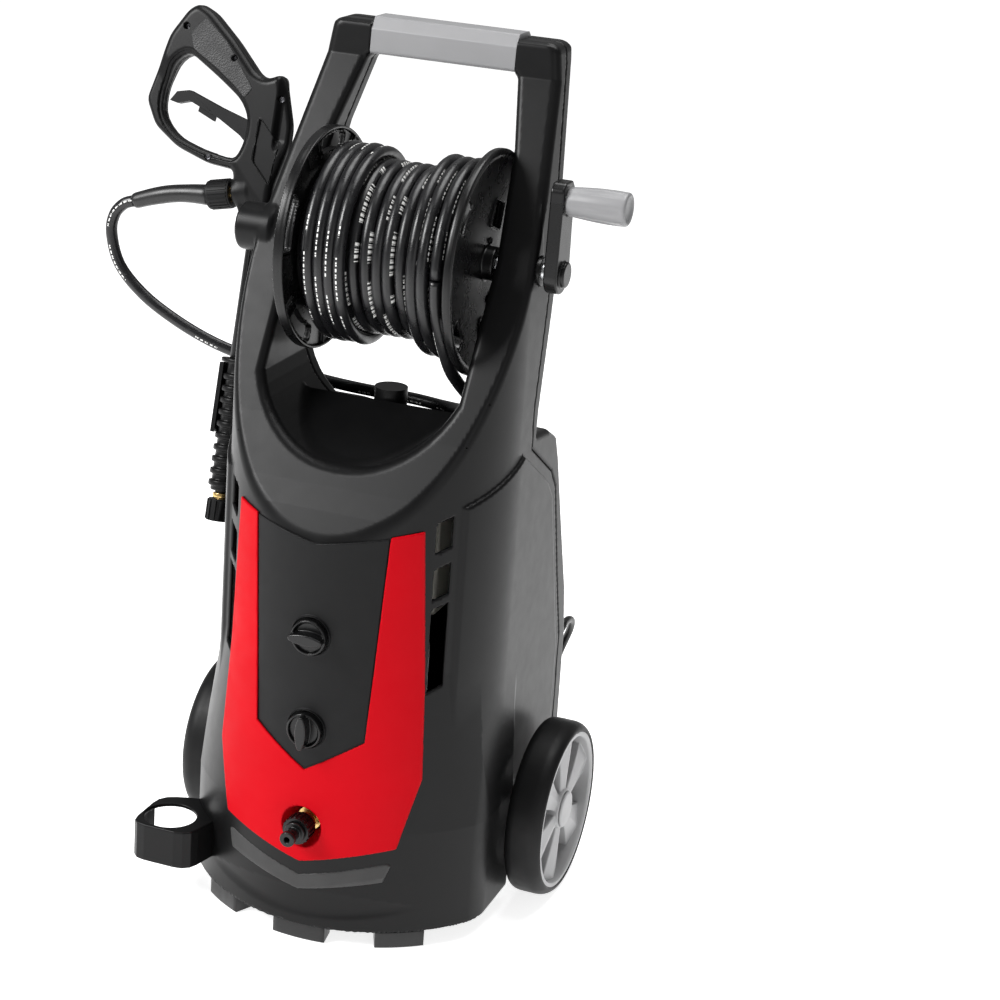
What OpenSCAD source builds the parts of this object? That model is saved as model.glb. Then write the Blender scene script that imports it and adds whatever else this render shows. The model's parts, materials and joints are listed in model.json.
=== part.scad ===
// Upright electric pressure washer on two wheels. The housing carries a hose reel
// between its handle arms, a spray gun with a short lance at its left side, and a
// motor, a pump and a detergent tank inside.
// Millimetres, +Z up, +Y to the rear. The origin is on the floor, on the plane of
// symmetry, at the middle of the front foot.

/* [Housing] */
// Radius of the rounded front in plan, and half the width of the housing
body_r = 150; // [149:1:151]
// Half the width of the flared base in front of the wheels
base_half_w = 163; // [160:1:164]
// Height of the housing's lower edge over the floor
body_low_z = 18; // [16:1:20]
// Thickness of the housing's walls
wall = 4; // [3:0.5:4]
// Height that the side panels stand proud of the housing
side_proud = 4; // [3:0.5:5]

/* [Wheels] */
// Outer radius of a tyre
tyre_r = 95; // [93:1:96]
// Width of a tyre
tyre_w = 42; // [38:1:42]
// Distance from the middle of the machine to a wheel's outer face
wheel_out_x = 210; // [210:1:214]
// Distance of the axle behind the middle of the front foot
axle_y = 224; // [220:1:226]
// Radius of the axle
axle_r = 6; // [6:0.5:7]

/* [Hose reel] */
// Distance of the reel's axis behind the origin
reel_y = 167; // [166:1:168]
// Height of the reel's axis
reel_z = 692; // [690:1:694]
// Radius of the reel's flanges
flange_r = 113; // [110:1:114]
// Radius of the reel's drum
drum_r = 75; // [72:1:76]
// Outside diameter of the high-pressure hose
hose_d = 12.5; // [12:0.5:12.5]
// Distance from the reel's axis to the crank grip's axis
crank_throw = 73; // [70:1:75]

/* [Spray gun] */
// Distance of the gun's axis left of the middle of the machine
gun_x = 180; // [180:1:184]
// Lean of the lance from upright, in degrees
gun_lean = 14; // [13:0.5:15]
// Radius of the lance's barrel
lance_r = 11.5; // [11:0.5:12]

/* [Controls] */
// Height of the upper knob's axis
upper_knob_z = 338; // [334:1:342]
// Height of the lower knob's axis
lower_knob_z = 238; // [234:1:242]
// Radius of a knob
knob_r = 17; // [16:0.5:17.5]
// Height of the water inlet's axis
inlet_z = 130; // [128:1:132]

/* [Hidden] */
$fn = 64;

black = "#1b1b1d";
dark = "#26262a";
grey = "#a9abad";
red = "#c8141e";
steel = "#b8bcc0";
brass = "#c79a3c";

// Plan of the housing: the rounded front's centre, and the wider base's arc
plan_y = body_r - 8;
base_arc_r = 188;
base_arc_y = 180;
base_rear_y = 176;
flare_low_z = 130;
flare_high_z = 300;

// Side views of the housing, as [y, z] points
front_part = [[-60, 0], [-60, 960], [278, 960], [268, 880], [236, 800], [212, 740],
    [192, 650], [176, 545], [180, 505], [250, 462], [268, 440], [300, 330], [326, 250],
    [332, 100], [332, 0]];
arm_side = [[-8, 436], [8, 462], [22, 482], [55, 535], [243, 866], [246, 898],
    [252, 903], [288, 903], [294, 895], [290, 880], [258, 800], [234, 740], [214, 650],
    [196, 545], [190, 480], [60, 440]];
side_panel_side = [[58, 130], [58, 474], [150, 506], [232, 456], [250, 436], [284, 326],
    [308, 246], [314, 130]];
deck_y = 146;
deck_z = 540;

// Front view of the opening between the arms: a round bottom and leaning sides
opening_r = 112;
opening_z = 580;
opening_half_w = 104;

// Inner radius of the control plate, and of its pocket in the front shell
control_pocket_r = body_r - 2;

// Handle
grip_half_l = 78;
handle_y = 267;
handle_z = 885;
handle_tube_r = 9;

// Running clearance of shafts and pins, on the radius
run = 0.05;

// Wheels
wheel_in_x = wheel_out_x - tyre_w;
rim_r = tyre_r - 12;
rim_spokes = 6;
axle_z = tyre_r;

// Reel
reel_left_x = -86;
reel_right_x = 94;
flange_t = 6;
reel_shaft_r = 8;
hose_pitch = 13;
hose_turns = 12;
layer_rise = 13;
arm_in_x = 157;
arm_out_x = 171;
crank_pin_r = 5;
crank_grip_l = 62;

// Spray gun: its place, and the outlines in its own upright plane as [x, z] points
gun_y = 219;
gun_z = 681;
gun_half_t = 14;
trigger_x = -37;
trigger_z = 88;
latch_x = -73;
latch_z = 107.5;
gun_screw_places = [[-109, 192], [-50, 165], [8, 130], [-66, 61]];
gun_outline = [[-100, 217], [-84, 210], [-54, 184], [-24, 153], [-12, 149], [2, 155],
    [7, 150], [21, 104], [21, 72], [12, 40], [12, -12], [-12, -12], [-26, 12],
    [-34, 30], [-36, 52], [-68, 55], [-105, 67], [-133, 86], [-147, 112], [-137, 150],
    [-129, 182], [-111, 210]];
gun_loop = [[-104, 166], [-64, 142], [-38, 124], [-28, 108], [-27, 92], [-30, 76],
    [-36, 63], [-70, 66], [-108, 78], [-127, 98], [-128, 122], [-119, 154]];

// Free stretch of the high-pressure hose, from the gun's sleeve to the reel
hose_route = [[-328.4, 220, 684.7], [-340, 219, 680], [-351, 219, 667], [-354, 219, 646],
    [-344, 220, 613], [-316, 222, 584], [-278, 225, 561], [-238, 230, 543],
    [-198, 236, 531], [-160, 238, 525], [-120, 237, 521], [-80, 235, 519],
    [-40, 232, 519], [0, 228, 520], [38, 218, 521], [66, 199, 527], [83, 172, 541],
    [89, 147, 559], [85, 131, 574], [80, 112, 595], [77, 92, 628], [75, 78, 660],
    [75, 72, 690]];

// Mains cord: gland, free stretch and the coil behind the machine
cord_d = 8.5;
gland_x = 136;
gland_z = 238;
gland_y = 351;
cord_route = [[136, 383, 238], [136, 402, 237], [135, 420, 229], [130, 432, 212],
    [122, 436, 190], [113, 437, 160], [109, 436, 130], [107, 432, 100],
    [104, 426, 74], [96, 418, 52], [82, 410, 38], [64, 405, 32], [46, 403, 30]];
coil_x = 0;
coil_y = 462;
coil_r = 55;
coil_half_w = 17;
plug_r = 16;

// Placing modules: extrusion along X of a [y, z] outline, along Y of an [x, z] one
module along_x(low, high) {
    translate([low, 0, 0]) rotate([90, 0, 90]) linear_extrude(high - low) children();
}

module along_y(low, high) {
    translate([0, high, 0]) rotate([90, 0, 0]) linear_extrude(high - low) children();
}

module tube(r_out, r_in, h) {
    difference() {
        cylinder(r = r_out, h = h);
        translate([0, 0, -1]) cylinder(r = r_in, h = h + 2);
    }
}

// Cylinder along +X or +Y that starts at the given point
module rod_x(at, r, l) {
    translate(at) rotate([0, 90, 0]) cylinder(r = r, h = l);
}

module rod_y(at, r, l) {
    translate(at) rotate([-90, 0, 0]) cylinder(r = r, h = l);
}

// A fillet of radius r at corner b of the path a, b, c, as points of an arc
function unit(v) = v / norm(v);
function fillet(a, b, c, r, steps = 6) =
    let (u = unit(a - b), v = unit(c - b), half = acos(u * v) / 2,
         centre = b + unit(u + v) * r / sin(half),
         start = b + u * r / tan(half) - centre,
         turn = (cross(u, v) > 0 ? -1 : 1) * (180 - 2 * half))
    [for (i = [0:steps]) let (t = turn * i / steps)
        centre + [start.x * cos(t) - start.y * sin(t), start.x * sin(t) + start.y * cos(t)]];
function rounded(points, r, steps = 6) =
    let (n = len(points))
    [for (i = [0:n - 1]) each fillet(points[(i + n - 1) % n], points[i],
        points[(i + 1) % n], r, steps)];

// Housing plans, grown by g: the rounded body, and the wider base in front of the wheels
module body_plan(g) {
    translate([0, plan_y]) circle(r = body_r + g, $fn = 128);
    translate([-body_r - g, plan_y]) square([2 * (body_r + g), 300]);
}

module front_plan(g) {
    intersection() {
        body_plan(g);
        translate([-200, -40]) square([400, 40 + base_rear_y]);
    }
}

module base_plan(g) {
    intersection() {
        translate([0, base_arc_y]) circle(r = base_arc_r + g, $fn = 128);
        translate([-base_half_w - g, -40]) square([2 * (base_half_w + g), 40 + base_rear_y]);
    }
}

module body_column(g, low_z) {
    translate([0, 0, low_z]) linear_extrude(960) body_plan(g);
    hull() {
        translate([0, 0, low_z]) linear_extrude(flare_low_z - low_z) base_plan(g);
        translate([0, 0, flare_high_z - 1]) linear_extrude(1) front_plan(g);
    }
}

// Everything below the arms, seen from the side
module lower_side(low_z) {
    polygon([[-60, low_z], [-60, 436], [-8, 436], [4, 456], [20, 466], [36, 470],
        [41, 464], [deck_y - 4, deck_z], [deck_y - 1, 522], [235, 511], [262, 497],
        [275, 470], [305, 389], [338, 303], [350, 248], [356, 100], [352, low_z]]);
}

module opening_front() {
    side_angle = acos(opening_half_w / opening_r);
    polygon(concat([for (i = [0:20]) let (a = -180 + side_angle + i * (180 - 2 * side_angle) / 20)
            [opening_r * cos(a), opening_z + opening_r * sin(a)]],
        [[106, 700], [96, 798]], fillet([96, 798], [82, 867], [-82, 867], 9),
        fillet([82, 867], [-82, 867], [-96, 798], 9), [[-96, 798], [-106, 700]]));
}

module arms_front() {
    difference() {
        polygon(concat([[150, 400], [150, 700]], fillet([150, 700], [121, 903], [-121, 903], 14),
            fillet([121, 903], [-121, 903], [-150, 700], 14), [[-150, 700], [-150, 400]]));
        opening_front();
    }
}

// The whole housing as one solid, set in by t
module housing(t, low_z) {
    intersection() {
        body_column(-t, low_z);
        union() {
            along_x(-200, 200) offset(delta = -t) lower_side(low_z - t);
            intersection() {
                along_x(-200, 200) offset(delta = -t) polygon(arm_side);
                along_y(-20, 320) offset(delta = -t) arms_front();
            }
        }
    }
}

module side_panels() {
    intersection() {
        translate([0, 0, 100]) linear_extrude(460) body_plan(side_proud);
        along_x(-200, 200) polygon(side_panel_side);
    }
}

module vents() {
    vent_angle = 49;
    for (side = [-1, 1], v = [[283, 90], [381, 34], [430, 33]])
        translate([0, plan_y, v[0]]) rotate([0, 0, side * vent_angle])
            translate([-9, -body_r - 10, 0]) cube([18, 30, v[1]]);
}

// Holes of the housing for the axle, the reel's bushes, the grip and the controls
module housing_holes() {
    rod_x([-200, axle_y, axle_z], axle_r + 2, 400);
    rod_x([-200, reel_y, reel_z], 14.1, 400);
    translate([-grip_half_l, 200, 860]) cube([2 * grip_half_l, 110, 60]);
    rod_x([-118, handle_y, handle_z], handle_tube_r, 236);
    rod_y([0, -40, upper_knob_z], 21.3, 60);
    rod_y([0, -40, lower_knob_z], 21.3, 60);
    rod_y([0, -40, inlet_z], 27, 60);
    translate([0, 163, 490]) cylinder(r = 14.5, h = 60);
    rod_y([gland_x, gland_y - 20, gland_z], 7.5, 30);
}

module handle_gap() {
    translate([-grip_half_l, 200, 860]) cube([2 * grip_half_l, 110, 60]);
}

module front_shell() {
    color(black) difference() {
        union() {
            intersection() {
                housing(0, body_low_z);
                along_x(-200, 200) polygon(front_part);
            }
            side_panels();
            // Bosses of the screws that hold the rear shell
            intersection() {
                screw_row() rod_y([0, -62, 0], 8, 60);
                along_x(-200, 200) polygon(front_part);
            }
            // Round lug of the left arm, in front of the gun
            intersection() {
                rod_x([-174, reel_y, reel_z], 25, 40);
                along_x(-200, 0) polygon(front_part);
            }
        }
        difference() {
            housing(wall, body_low_z);
            screw_row() rod_y([0, -62, 0], 8, 60);
        }
        screw_row() rod_y([0, -38, 0], 2.5, 60);
        // Shallow pocket of the control plate
        difference() {
            along_y(-60, 100) offset(delta = 0.2) control_plate_front();
            translate([0, plan_y, 150]) cylinder(r = control_pocket_r, h = 320, $fn = 128);
        }
        vents();
        housing_holes();
        // Lens-shaped scoop along the foot of the front
        translate([0, base_arc_y, 50]) rotate([0, 0, -130]) rotate_extrude(angle = 80, $fn = 96)
            translate([base_arc_r + 17.5, 0]) circle(r = 20);
    }
}

module rear_shell() {
    color(black) difference() {
        housing(0, body_low_z);
        along_x(-200, 200) polygon(front_part);
        housing(wall, body_low_z);
        housing_holes();
        screw_row() rod_y([0, -38, 0], 2.5, 60);
        // Rows of cooling slots in the back
        for (row = [0:8], column = [-1, 1])
            translate([column * 45 - 32, 300, 120 + row * 16]) cube([64, 80, 7]);
    }
}

// Red surround of the controls, as the front view's outline
module red_front() {
    difference() {
        polygon([[0, 91], [94, 115], [111, 190], [98, 454], [70, 448], [-70, 448],
            [-98, 454], [-111, 190], [-94, 115]]);
        control_front(0.6);
    }
}

module control_front(g) {
    offset(delta = g) polygon([[0, 194], [58, 231], [71.3, 470], [-71.3, 470], [-58, 231]]);
}

module control_plate_front() {
    polygon([[0, 194], [58, 231], [70, 447], [0, 434], [-70, 447], [-58, 231]]);
}

// A trim plate that lies on the front between two growths of the plan
module front_trim(proud) {
    intersection() {
        difference() {
            body_column(proud, body_low_z);
            body_column(0, body_low_z - 5);
        }
        along_y(-40, 100) children();
    }
}

module red_panel() {
    color(red) difference() {
        union() {
            front_trim(2.5) red_front();
            // Funnel around the water inlet
            intersection() {
                rod_y([0, -20, inlet_z], 26.6, 34);
                difference() {
                    body_column(2.5, body_low_z);
                    translate([0, 14, inlet_z]) rotate([90, 0, 0]) cylinder(r1 = 15, r2 = 27.5, h = 36);
                }
            }
        }
        translate([0, 14, inlet_z]) rotate([90, 0, 0]) cylinder(r1 = 13.5, r2 = 26, h = 36);
        rod_y([0, -40, inlet_z], 13.5, 80);
    }
}

module control_panel() {
    knob_seat_y = -9.6;
    color(dark) difference() {
        union() {
            intersection() {
                translate([0, plan_y, 150]) tube(body_r + 1.5, control_pocket_r, 320);
                along_y(-40, 100) control_plate_front();
            }
            // Round cups of the knobs
            for (z = [upper_knob_z, lower_knob_z]) rod_y([0, -12.2, z], 21, 9);
        }
        for (z = [upper_knob_z, lower_knob_z]) {
            rod_y([0, -30, z], 18.5, 30 + knob_seat_y);
            rod_y([0, -30, z], 5.85, 60);
        }
    }
}

module bumper_strip() {
    color(dark) front_trim(2.5)
        polygon([[0, 60], [84, 78], [90, 96], [86, 98], [0, 76], [-86, 98], [-90, 96], [-84, 78]]);
}

module handle_tube() {
    color(steel) translate([-117, handle_y, handle_z]) rotate([0, 90, 0])
        tube(handle_tube_r, handle_tube_r - 1.5, 234);
}

module handle_grip() {
    color(grey) difference() {
        along_x(-grip_half_l, grip_half_l)
            polygon(rounded([[244, 868], [246, 893], [254, 905], [282, 905], [292, 896], [290, 868]], 4));
        rod_x([-100, handle_y, handle_z], handle_tube_r, 200);
    }
}

// Tray in the bottom, with the motor's and the pump's seats and the axle's blocks
module chassis() {
    tray_z = body_low_z;
    color(dark) difference() {
        union() {
            intersection() {
                body_column(-wall, tray_z);
                translate([-200, -40, tray_z]) cube([400, 386, 4]);
            }
            for (side = [-1, 1])
                translate([side * 118 - 20, axle_y - 18, tray_z + 4]) cube([40, 36, axle_z - tray_z + 14]);
            translate([0, motor_y, tray_z + 4]) tube(40, 30, pump_low_z - tray_z - 4);
        }
        rod_x([-160, axle_y, axle_z], axle_r, 320);
    }
}

module feet() {
    foot_angles = [[-9, 18], [-41, 16], [25, 16]];
    color("#101012") for (f = foot_angles)
        translate([0, base_arc_y, 0]) rotate([0, 0, -90 + f[0]])
            rotate_extrude(angle = f[1]) translate([base_arc_r - 26, 0]) square([24, body_low_z]);
}

// Open ring at the base's left front corner, which holds a spare lance
module lance_ring() {
    ring_z = 44;
    ring_h = 42;
    plate_t = 4;
    open_y = 44;
    color(black) difference() {
        translate([0, 0, ring_z]) linear_extrude(ring_h) difference() {
            polygon(rounded([[-196, -6], [-196, 62], [-150, 80], [-124, 50], [-134, -6]], 15));
            translate([-165, 26]) circle(r = 27.5);
            base_plan(0);
        }
        // Hollow under the top plate, inside the front and left skirt and open at the back
        translate([0, 0, ring_z - 1]) linear_extrude(ring_h - plate_t + 1) union() {
            polygon(rounded([[-192.5, -2.5], [-192.5, 60], [-110, 60], [-110, -2.5]], 11));
            translate([-230, open_y]) square([140, 60]);
        }
    }
}

module gun_place() {
    translate([-gun_x, gun_y, gun_z]) rotate([-gun_lean, 0, 0]) children();
}

// Bracket on the housing's left side, whose open claw holds the lance
module lance_clip() {
    claw_z = -222;
    claw_h = 74;
    color(black) difference() {
        gun_place() difference() {
            union() {
                translate([0, 0, claw_z]) cylinder(r = 21.5, h = claw_h);
                translate([2, -6, claw_z + 6]) cube([40, 12, claw_h - 12]);
            }
            translate([0, 0, claw_z - 1]) cylinder(r = 17, h = claw_h + 2);
            translate([-30, -40, claw_z - 1]) cube([38, 34, claw_h + 2]);
        }
        translate([-body_r - side_proud, 0, 300]) cube([200, 400, 400]);
    }
}

module axle() {
    color(steel) rod_x([-wheel_out_x + 9, axle_y, axle_z], axle_r, 2 * (wheel_out_x - 9));
}

module axle_clips() {
    color(steel) for (side = [-1, 1])
        translate([side * (wheel_out_x - 10.5) - 1, axle_y, axle_z]) rotate([0, 90, 0])
            difference() {
                cylinder(r = 10, h = 2);
                translate([0, 0, -1]) cylinder(r = axle_r, h = 4);
            }
}

// Wheels are drawn for the right side and mirrored for the left one
module on_side(side) {
    if (side > 0) children();
    else mirror([1, 0, 0]) children();
}

module wheel_turn(side) {
    on_side(side) translate([wheel_in_x, axle_y, axle_z]) rotate([0, 90, 0]) children();
}

module tyre(side) {
    color("#161618") wheel_turn(side) rotate_extrude($fn = 96)
        polygon(rounded([[rim_r, 5], [tyre_r - 5, 1], [tyre_r, 12], [tyre_r, tyre_w - 14],
            [tyre_r - 5, tyre_w - 2], [rim_r, tyre_w - 4]], 2.5));
}

module rim(side) {
    hub_r = 19;
    color(grey) wheel_turn(side) difference() {
        union() {
            translate([0, 0, 6]) tube(rim_r, rim_r - 6, tyre_w - 10);
            translate([0, 0, 22]) cylinder(r = rim_r - 1, h = 3);
            translate([0, 0, 4]) cylinder(r = hub_r, h = tyre_w - 12);
            for (i = [0:rim_spokes - 1])
                rotate([0, 0, i * 360 / rim_spokes + 8]) translate([10, -19, 24])
                    linear_extrude(tyre_w - 33) polygon([[0, 9], [66, 0], [66, 38], [0, 29]]);
        }
        translate([0, 0, -1]) cylinder(r = axle_r + run, h = tyre_w + 2);
        translate([0, 0, tyre_w - 13]) cylinder(r = 12, h = 20);
    }
}

module hub_cap(side) {
    color(grey) wheel_turn(side) difference() {
        union() {
            translate([0, 0, tyre_w - 8]) cylinder(r = 21, h = 3);
            translate([0, 0, tyre_w - 5]) cylinder(r1 = 21, r2 = 16, h = 3);
        }
        translate([0, 0, tyre_w - 12]) cylinder(r = 11, h = 6);
    }
}

// Reel parts turn about the reel's axis, along X
module reel_turn(x) {
    translate([x, reel_y, reel_z]) rotate([0, 90, 0]) children();
}

module reel_bushes() {
    color("#d8d4c8") {
        reel_turn(107) tube(14, reel_shaft_r + run, 44);
        reel_turn(-151) tube(14, reel_shaft_r + run, 44);
    }
}

module reel_drum() {
    inner_l = reel_right_x - reel_left_x - 2 * flange_t;
    color(black) reel_turn(reel_left_x + flange_t) {
        tube(drum_r, drum_r - 3, inner_l);
        for (z = [12, inner_l - 16]) translate([0, 0, z]) tube(drum_r - 3, reel_shaft_r, 4);
    }
}

// A reel flange: a disc with a thick rim, five arched windows and a hub
module reel_flange() {
    difference() {
        union() {
            cylinder(r = flange_r, h = 3);
            tube(flange_r, flange_r - 5, flange_t);
            cylinder(r = 22, h = flange_t);
        }
        translate([0, 0, -1]) cylinder(r = reel_shaft_r, h = flange_t + 2);
        for (i = [0:4]) rotate([0, 0, i * 72 + 20])
            translate([0, 0, -1]) linear_extrude(flange_t)
                polygon(rounded([[84, -24], [103, -27], [103, 27], [84, 24]], 5));
        for (i = [0:4]) rotate([0, 0, i * 72 + 52])
            translate([34, -12, -1]) cube([28, 24, flange_t]);
    }
}

module reel_shaft() {
    color(steel) difference() {
        rod_x([-150, reel_y, reel_z], reel_shaft_r, 150 + arm_out_x + 3);
        // Flat that drives the crank arm
        translate([arm_in_x, reel_y + 5.5, reel_z - 20]) cube([30, 20, 40]);
    }
}

module crank_arm() {
    color(black) difference() {
        union() {
            along_x(arm_in_x, arm_out_x) {
                translate([reel_y, reel_z]) circle(r = 20);
                translate([reel_y, reel_z + crank_throw]) circle(r = 17);
                polygon([[reel_y - 20, reel_z], [reel_y + 20, reel_z],
                    [reel_y + 17, reel_z + crank_throw], [reel_y - 17, reel_z + crank_throw]]);
            }
        }
        difference() {
            rod_x([150, reel_y, reel_z], reel_shaft_r, 40);
            translate([140, reel_y + 5.5, reel_z - 20]) cube([60, 20, 40]);
        }
        rod_x([150, reel_y, reel_z + crank_throw], crank_pin_r, 40);
    }
}

module crank_pin() {
    color(steel) {
        rod_x([arm_in_x, reel_y, reel_z + crank_throw], crank_pin_r, arm_out_x - arm_in_x + crank_grip_l - 4);
        rod_x([arm_out_x + crank_grip_l - 7, reel_y, reel_z + crank_throw], 8, 3);
    }
}

module crank_grip() {
    color(grey) translate([arm_out_x + 1, reel_y, reel_z + crank_throw]) rotate([0, 90, 0])
        difference() {
            union() {
                cylinder(r1 = 12, r2 = 17, h = crank_grip_l - 4);
                translate([0, 0, crank_grip_l - 4]) cylinder(r1 = 17, r2 = 15, h = 4);
            }
            translate([0, 0, -1]) cylinder(r = crank_pin_r + run, h = crank_grip_l - 3);
            translate([0, 0, crank_grip_l - 9]) cylinder(r = 8.5, h = 5);
        }
}

// Hose on the drum: a full layer with a second layer at both ends
module hose_winding() {
    first_r = drum_r + 0.3;
    left_l = 4 * hose_pitch;
    right_l = 3 * hose_pitch;
    color("#141416") reel_turn(reel_left_x + flange_t + 2) rotate_extrude($fn = 96) {
        translate([first_r, 0]) square([hose_d, hose_turns * hose_pitch]);
        translate([first_r + hose_d, 0]) square([layer_rise, left_l]);
        translate([first_r + hose_d, (hose_turns - 1) * hose_pitch - right_l - 8]) square([layer_rise, right_l]);
    }
}

// Polyhedron swept along a route: a round ring at every point
function ring_axes(route, i) =
    let (n = len(route) - 1,
         t = unit(route[min(i + 1, n)] - route[max(i - 1, 0)]),
         side = abs(t.z) > 0.8 ? [0, 1, 0] : [0, 0, 1],
         u = unit(cross(side, t)))
    [u, cross(t, u)];

// Points of a smooth curve through the route, with the given number of steps a span
function curve_point(p, i, s) =
    let (n = len(p) - 1, a = p[max(i - 1, 0)], b = p[i], c = p[i + 1], d = p[min(i + 2, n)])
    0.5 * (2 * b + (c - a) * s + (2 * a - 5 * b + 4 * c - d) * s * s
        + (3 * b - a - 3 * c + d) * s * s * s);
function smooth(p, steps) =
    [for (i = [0:len(p) - 2], k = [0:steps - 1]) curve_point(p, i, k / steps), p[len(p) - 1]];

module swept_tube(route, d, sides = 10) {
    n = len(route);
    points = [for (i = [0:n - 1]) let (axes = ring_axes(route, i)) for (k = [0:sides - 1])
        route[i] + d / 2 * (axes[0] * cos(k * 360 / sides) + axes[1] * sin(k * 360 / sides))];
    walls = [for (i = [0:n - 2], k = [0:sides - 1]) let (m = (k + 1) % sides)
        [i * sides + k, i * sides + m, (i + 1) * sides + m, (i + 1) * sides + k]];
    start_cap = [[for (k = [sides - 1:-1:0]) k]];
    end_cap = [[for (k = [0:sides - 1]) (n - 1) * sides + k]];
    polyhedron(points, concat(walls, start_cap, end_cap), convexity = 6);
}

module hose_free() {
    color("#141416") swept_tube(smooth(hose_route, 2), hose_d);
}

// Hose end at the gun, along the inlet's own slightly drooping axis
module inlet_axis() {
    gun_place() translate([-30, 0, 29]) rotate([0, -102, 0]) children();
}

module hose_nut() {
    color("#2a2a2c") inlet_axis() difference() {
        union() {
            translate([0, 0, 6]) cylinder(r = 15, h = 26);
            for (i = [0:23]) rotate([0, 0, i * 15]) translate([14.4, -1, 8]) cube([1.4, 2, 22]);
        }
        translate([0, 0, 5]) cylinder(r = 9 + run, h = 28);
    }
}

module hose_sleeve() {
    color("#1d1d1f") inlet_axis() translate([0, 0, 33]) cylinder(r1 = 11, r2 = 8, h = 87);
}

module gun_section(low_y, high_y, g) {
    along_y(low_y, high_y) difference() {
        offset(delta = g) polygon(gun_outline);
        offset(delta = -g) polygon(gun_loop);
    }
}

// Cavities of the gun's halves for the valve, the lance's end, the trigger and its pin
module gun_cavities() {
    translate([0, 0, -40]) cylinder(r = 9, h = 120);
    translate([-30, 0, 29]) rotate([0, -102, 0]) translate([0, 0, -30]) cylinder(r = 9, h = 60);
    along_y(-5.5, 5.5) polygon([[-60, 62], [-22, 60], [-8, 74], [-8, 112], [-22, 118], [-60, 120]]);
    rod_y([trigger_x + 22, -12, trigger_z - 2], 2.5, 24);
    for (s = gun_screw_places) rod_y([s[0], -30, s[1]], 2, 60);
}

module gun_half(low_y, high_y) {
    difference() {
        union() {
            gun_section(low_y, high_y, -1.5);
            gun_section(max(low_y, -10), min(high_y, 10), 0);
        }
        gun_cavities();
    }
}

module gun_left_half() {
    color(black) gun_place() gun_half(-gun_half_t, 0);
}

module gun_right_half() {
    color(black) gun_place() gun_half(0, gun_half_t);
}

module gun_valve() {
    color(brass) gun_place() difference() {
        union() {
            translate([0, 0, -12]) cylinder(r = 9, h = 84);
            translate([-30, 0, 29]) rotate([0, -102, 0]) translate([0, 0, -22]) cylinder(r = 9, h = 54.9);
        }
        translate([0, 0, -20]) cylinder(r = 4, h = 60);
    }
}

module gun_screws() {
    color(steel) gun_place() for (s = gun_screw_places)
        rod_y([s[0], -10.5, s[1]], 2, 20);
}

module trigger() {
    color(dark) gun_place() difference() {
        along_y(-5, 5) polygon([[-14, 80], [-12, 92], [-28, 104], [-62, 114], [-100, 127],
            [-114, 124], [-121, 114], [-112, 112], [-98, 116], [-62, 102], [-36, 88], [-24, 78]]);
        rod_y([trigger_x + 22, -12, trigger_z - 2], 2.5 + run, 24);
        along_y(-2.6, 2.6) polygon([[-66, 96], [-92, 106], [-90, 126], [-62, 116]]);
        rod_y([latch_x, -6, latch_z], 1.5 + run, 12);
    }
}

module trigger_pin() {
    color(steel) gun_place() rod_y([trigger_x + 22, -12, trigger_z - 2], 2.5, 24);
}

module safety_latch() {
    color("#3a3a3e") gun_place() {
        along_y(-2.3, 2.3) polygon([[-68.5, 98.5], [-88, 106.5], [-86, 119], [-66.5, 112.5]]);
        rod_y([latch_x, -4.8, latch_z], 1.5, 9.6);
    }
}

module lance_barrel() {
    color(black) gun_place() difference() {
        union() {
            translate([0, 0, -142]) cylinder(r = lance_r, h = 129.9);
            translate([0, 0, -290]) cylinder(r = 7, h = 149);
        }
        translate([0, 0, -300]) cylinder(r = 3, h = 300);
        // Long groove on the barrel's front
        translate([-2, -lance_r - 1, -128]) cube([4, 2, 100]);
    }
}

module lance_sleeve() {
    rings = 10;
    ring_step = 12.5;
    color(dark) gun_place() difference() {
        union() {
            translate([0, 0, -146.5]) cylinder(r = 20, h = 4.5);
            translate([0, 0, -282]) cylinder(r = 12.5, h = 136);
            for (i = [0:rings - 1]) translate([0, 0, -277 + i * ring_step]) cylinder(r = 15.5, h = 6);
        }
        translate([0, 0, -300]) cylinder(r = 7, h = 180);
        translate([0, 0, -142]) cylinder(r = lance_r, h = 10);
    }
}

module lance_nozzle() {
    color(brass) gun_place() difference() {
        union() {
            translate([0, 0, -312]) cylinder(r = 6, h = 22);
            translate([0, 0, -289.5]) cylinder(r = 9, h = 5);
        }
        translate([0, 0, -320]) cylinder(r = 3, h = 40);
        translate([0, 0, -290]) cylinder(r = 7, h = 10);
    }
}

module nozzle_nut() {
    color(dark) gun_place() difference() {
        union() {
            translate([0, 0, -314]) cylinder(r = 12.5, h = 23);
            for (i = [0:11]) rotate([0, 0, i * 30]) translate([11.8, -1.6, -313]) cube([2, 3.2, 21]);
        }
        translate([0, 0, -320]) cylinder(r = 6 + run, h = 40);
    }
}

// Knobs: a disc, a shaft into the housing and a raised finger bar
module knob_body(bar_angle, z) {
    translate([0, -9.9, z]) rotate([90, 0, 0]) {
        cylinder(r = knob_r, h = 8);
        translate([0, 0, -8]) cylinder(r = 5.8, h = 9);
        rotate([0, 0, bar_angle]) intersection() {
            translate([-knob_r, -4, 0]) cube([2 * knob_r, 8, 17]);
            cylinder(r = knob_r - 1, h = 17);
        }
    }
}

module upper_knob() {
    color("#151517") knob_body(0, upper_knob_z);
}

module lower_knob() {
    color("#151517") knob_body(90, lower_knob_z);
}

// Water inlet: a brass tail on the pump's side, a knurled nut and a hose nipple
module inlet_fitting() {
    color(brass) difference() {
        union() {
            rod_y([0, -14, inlet_z], 8, motor_y - 50.1);
            rod_y([0, -6, inlet_z], 11.5, 6);
            rod_y([0, 10, inlet_z], 13, 5);
        }
        rod_y([0, -20, inlet_z], 5, 160);
    }
}

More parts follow.
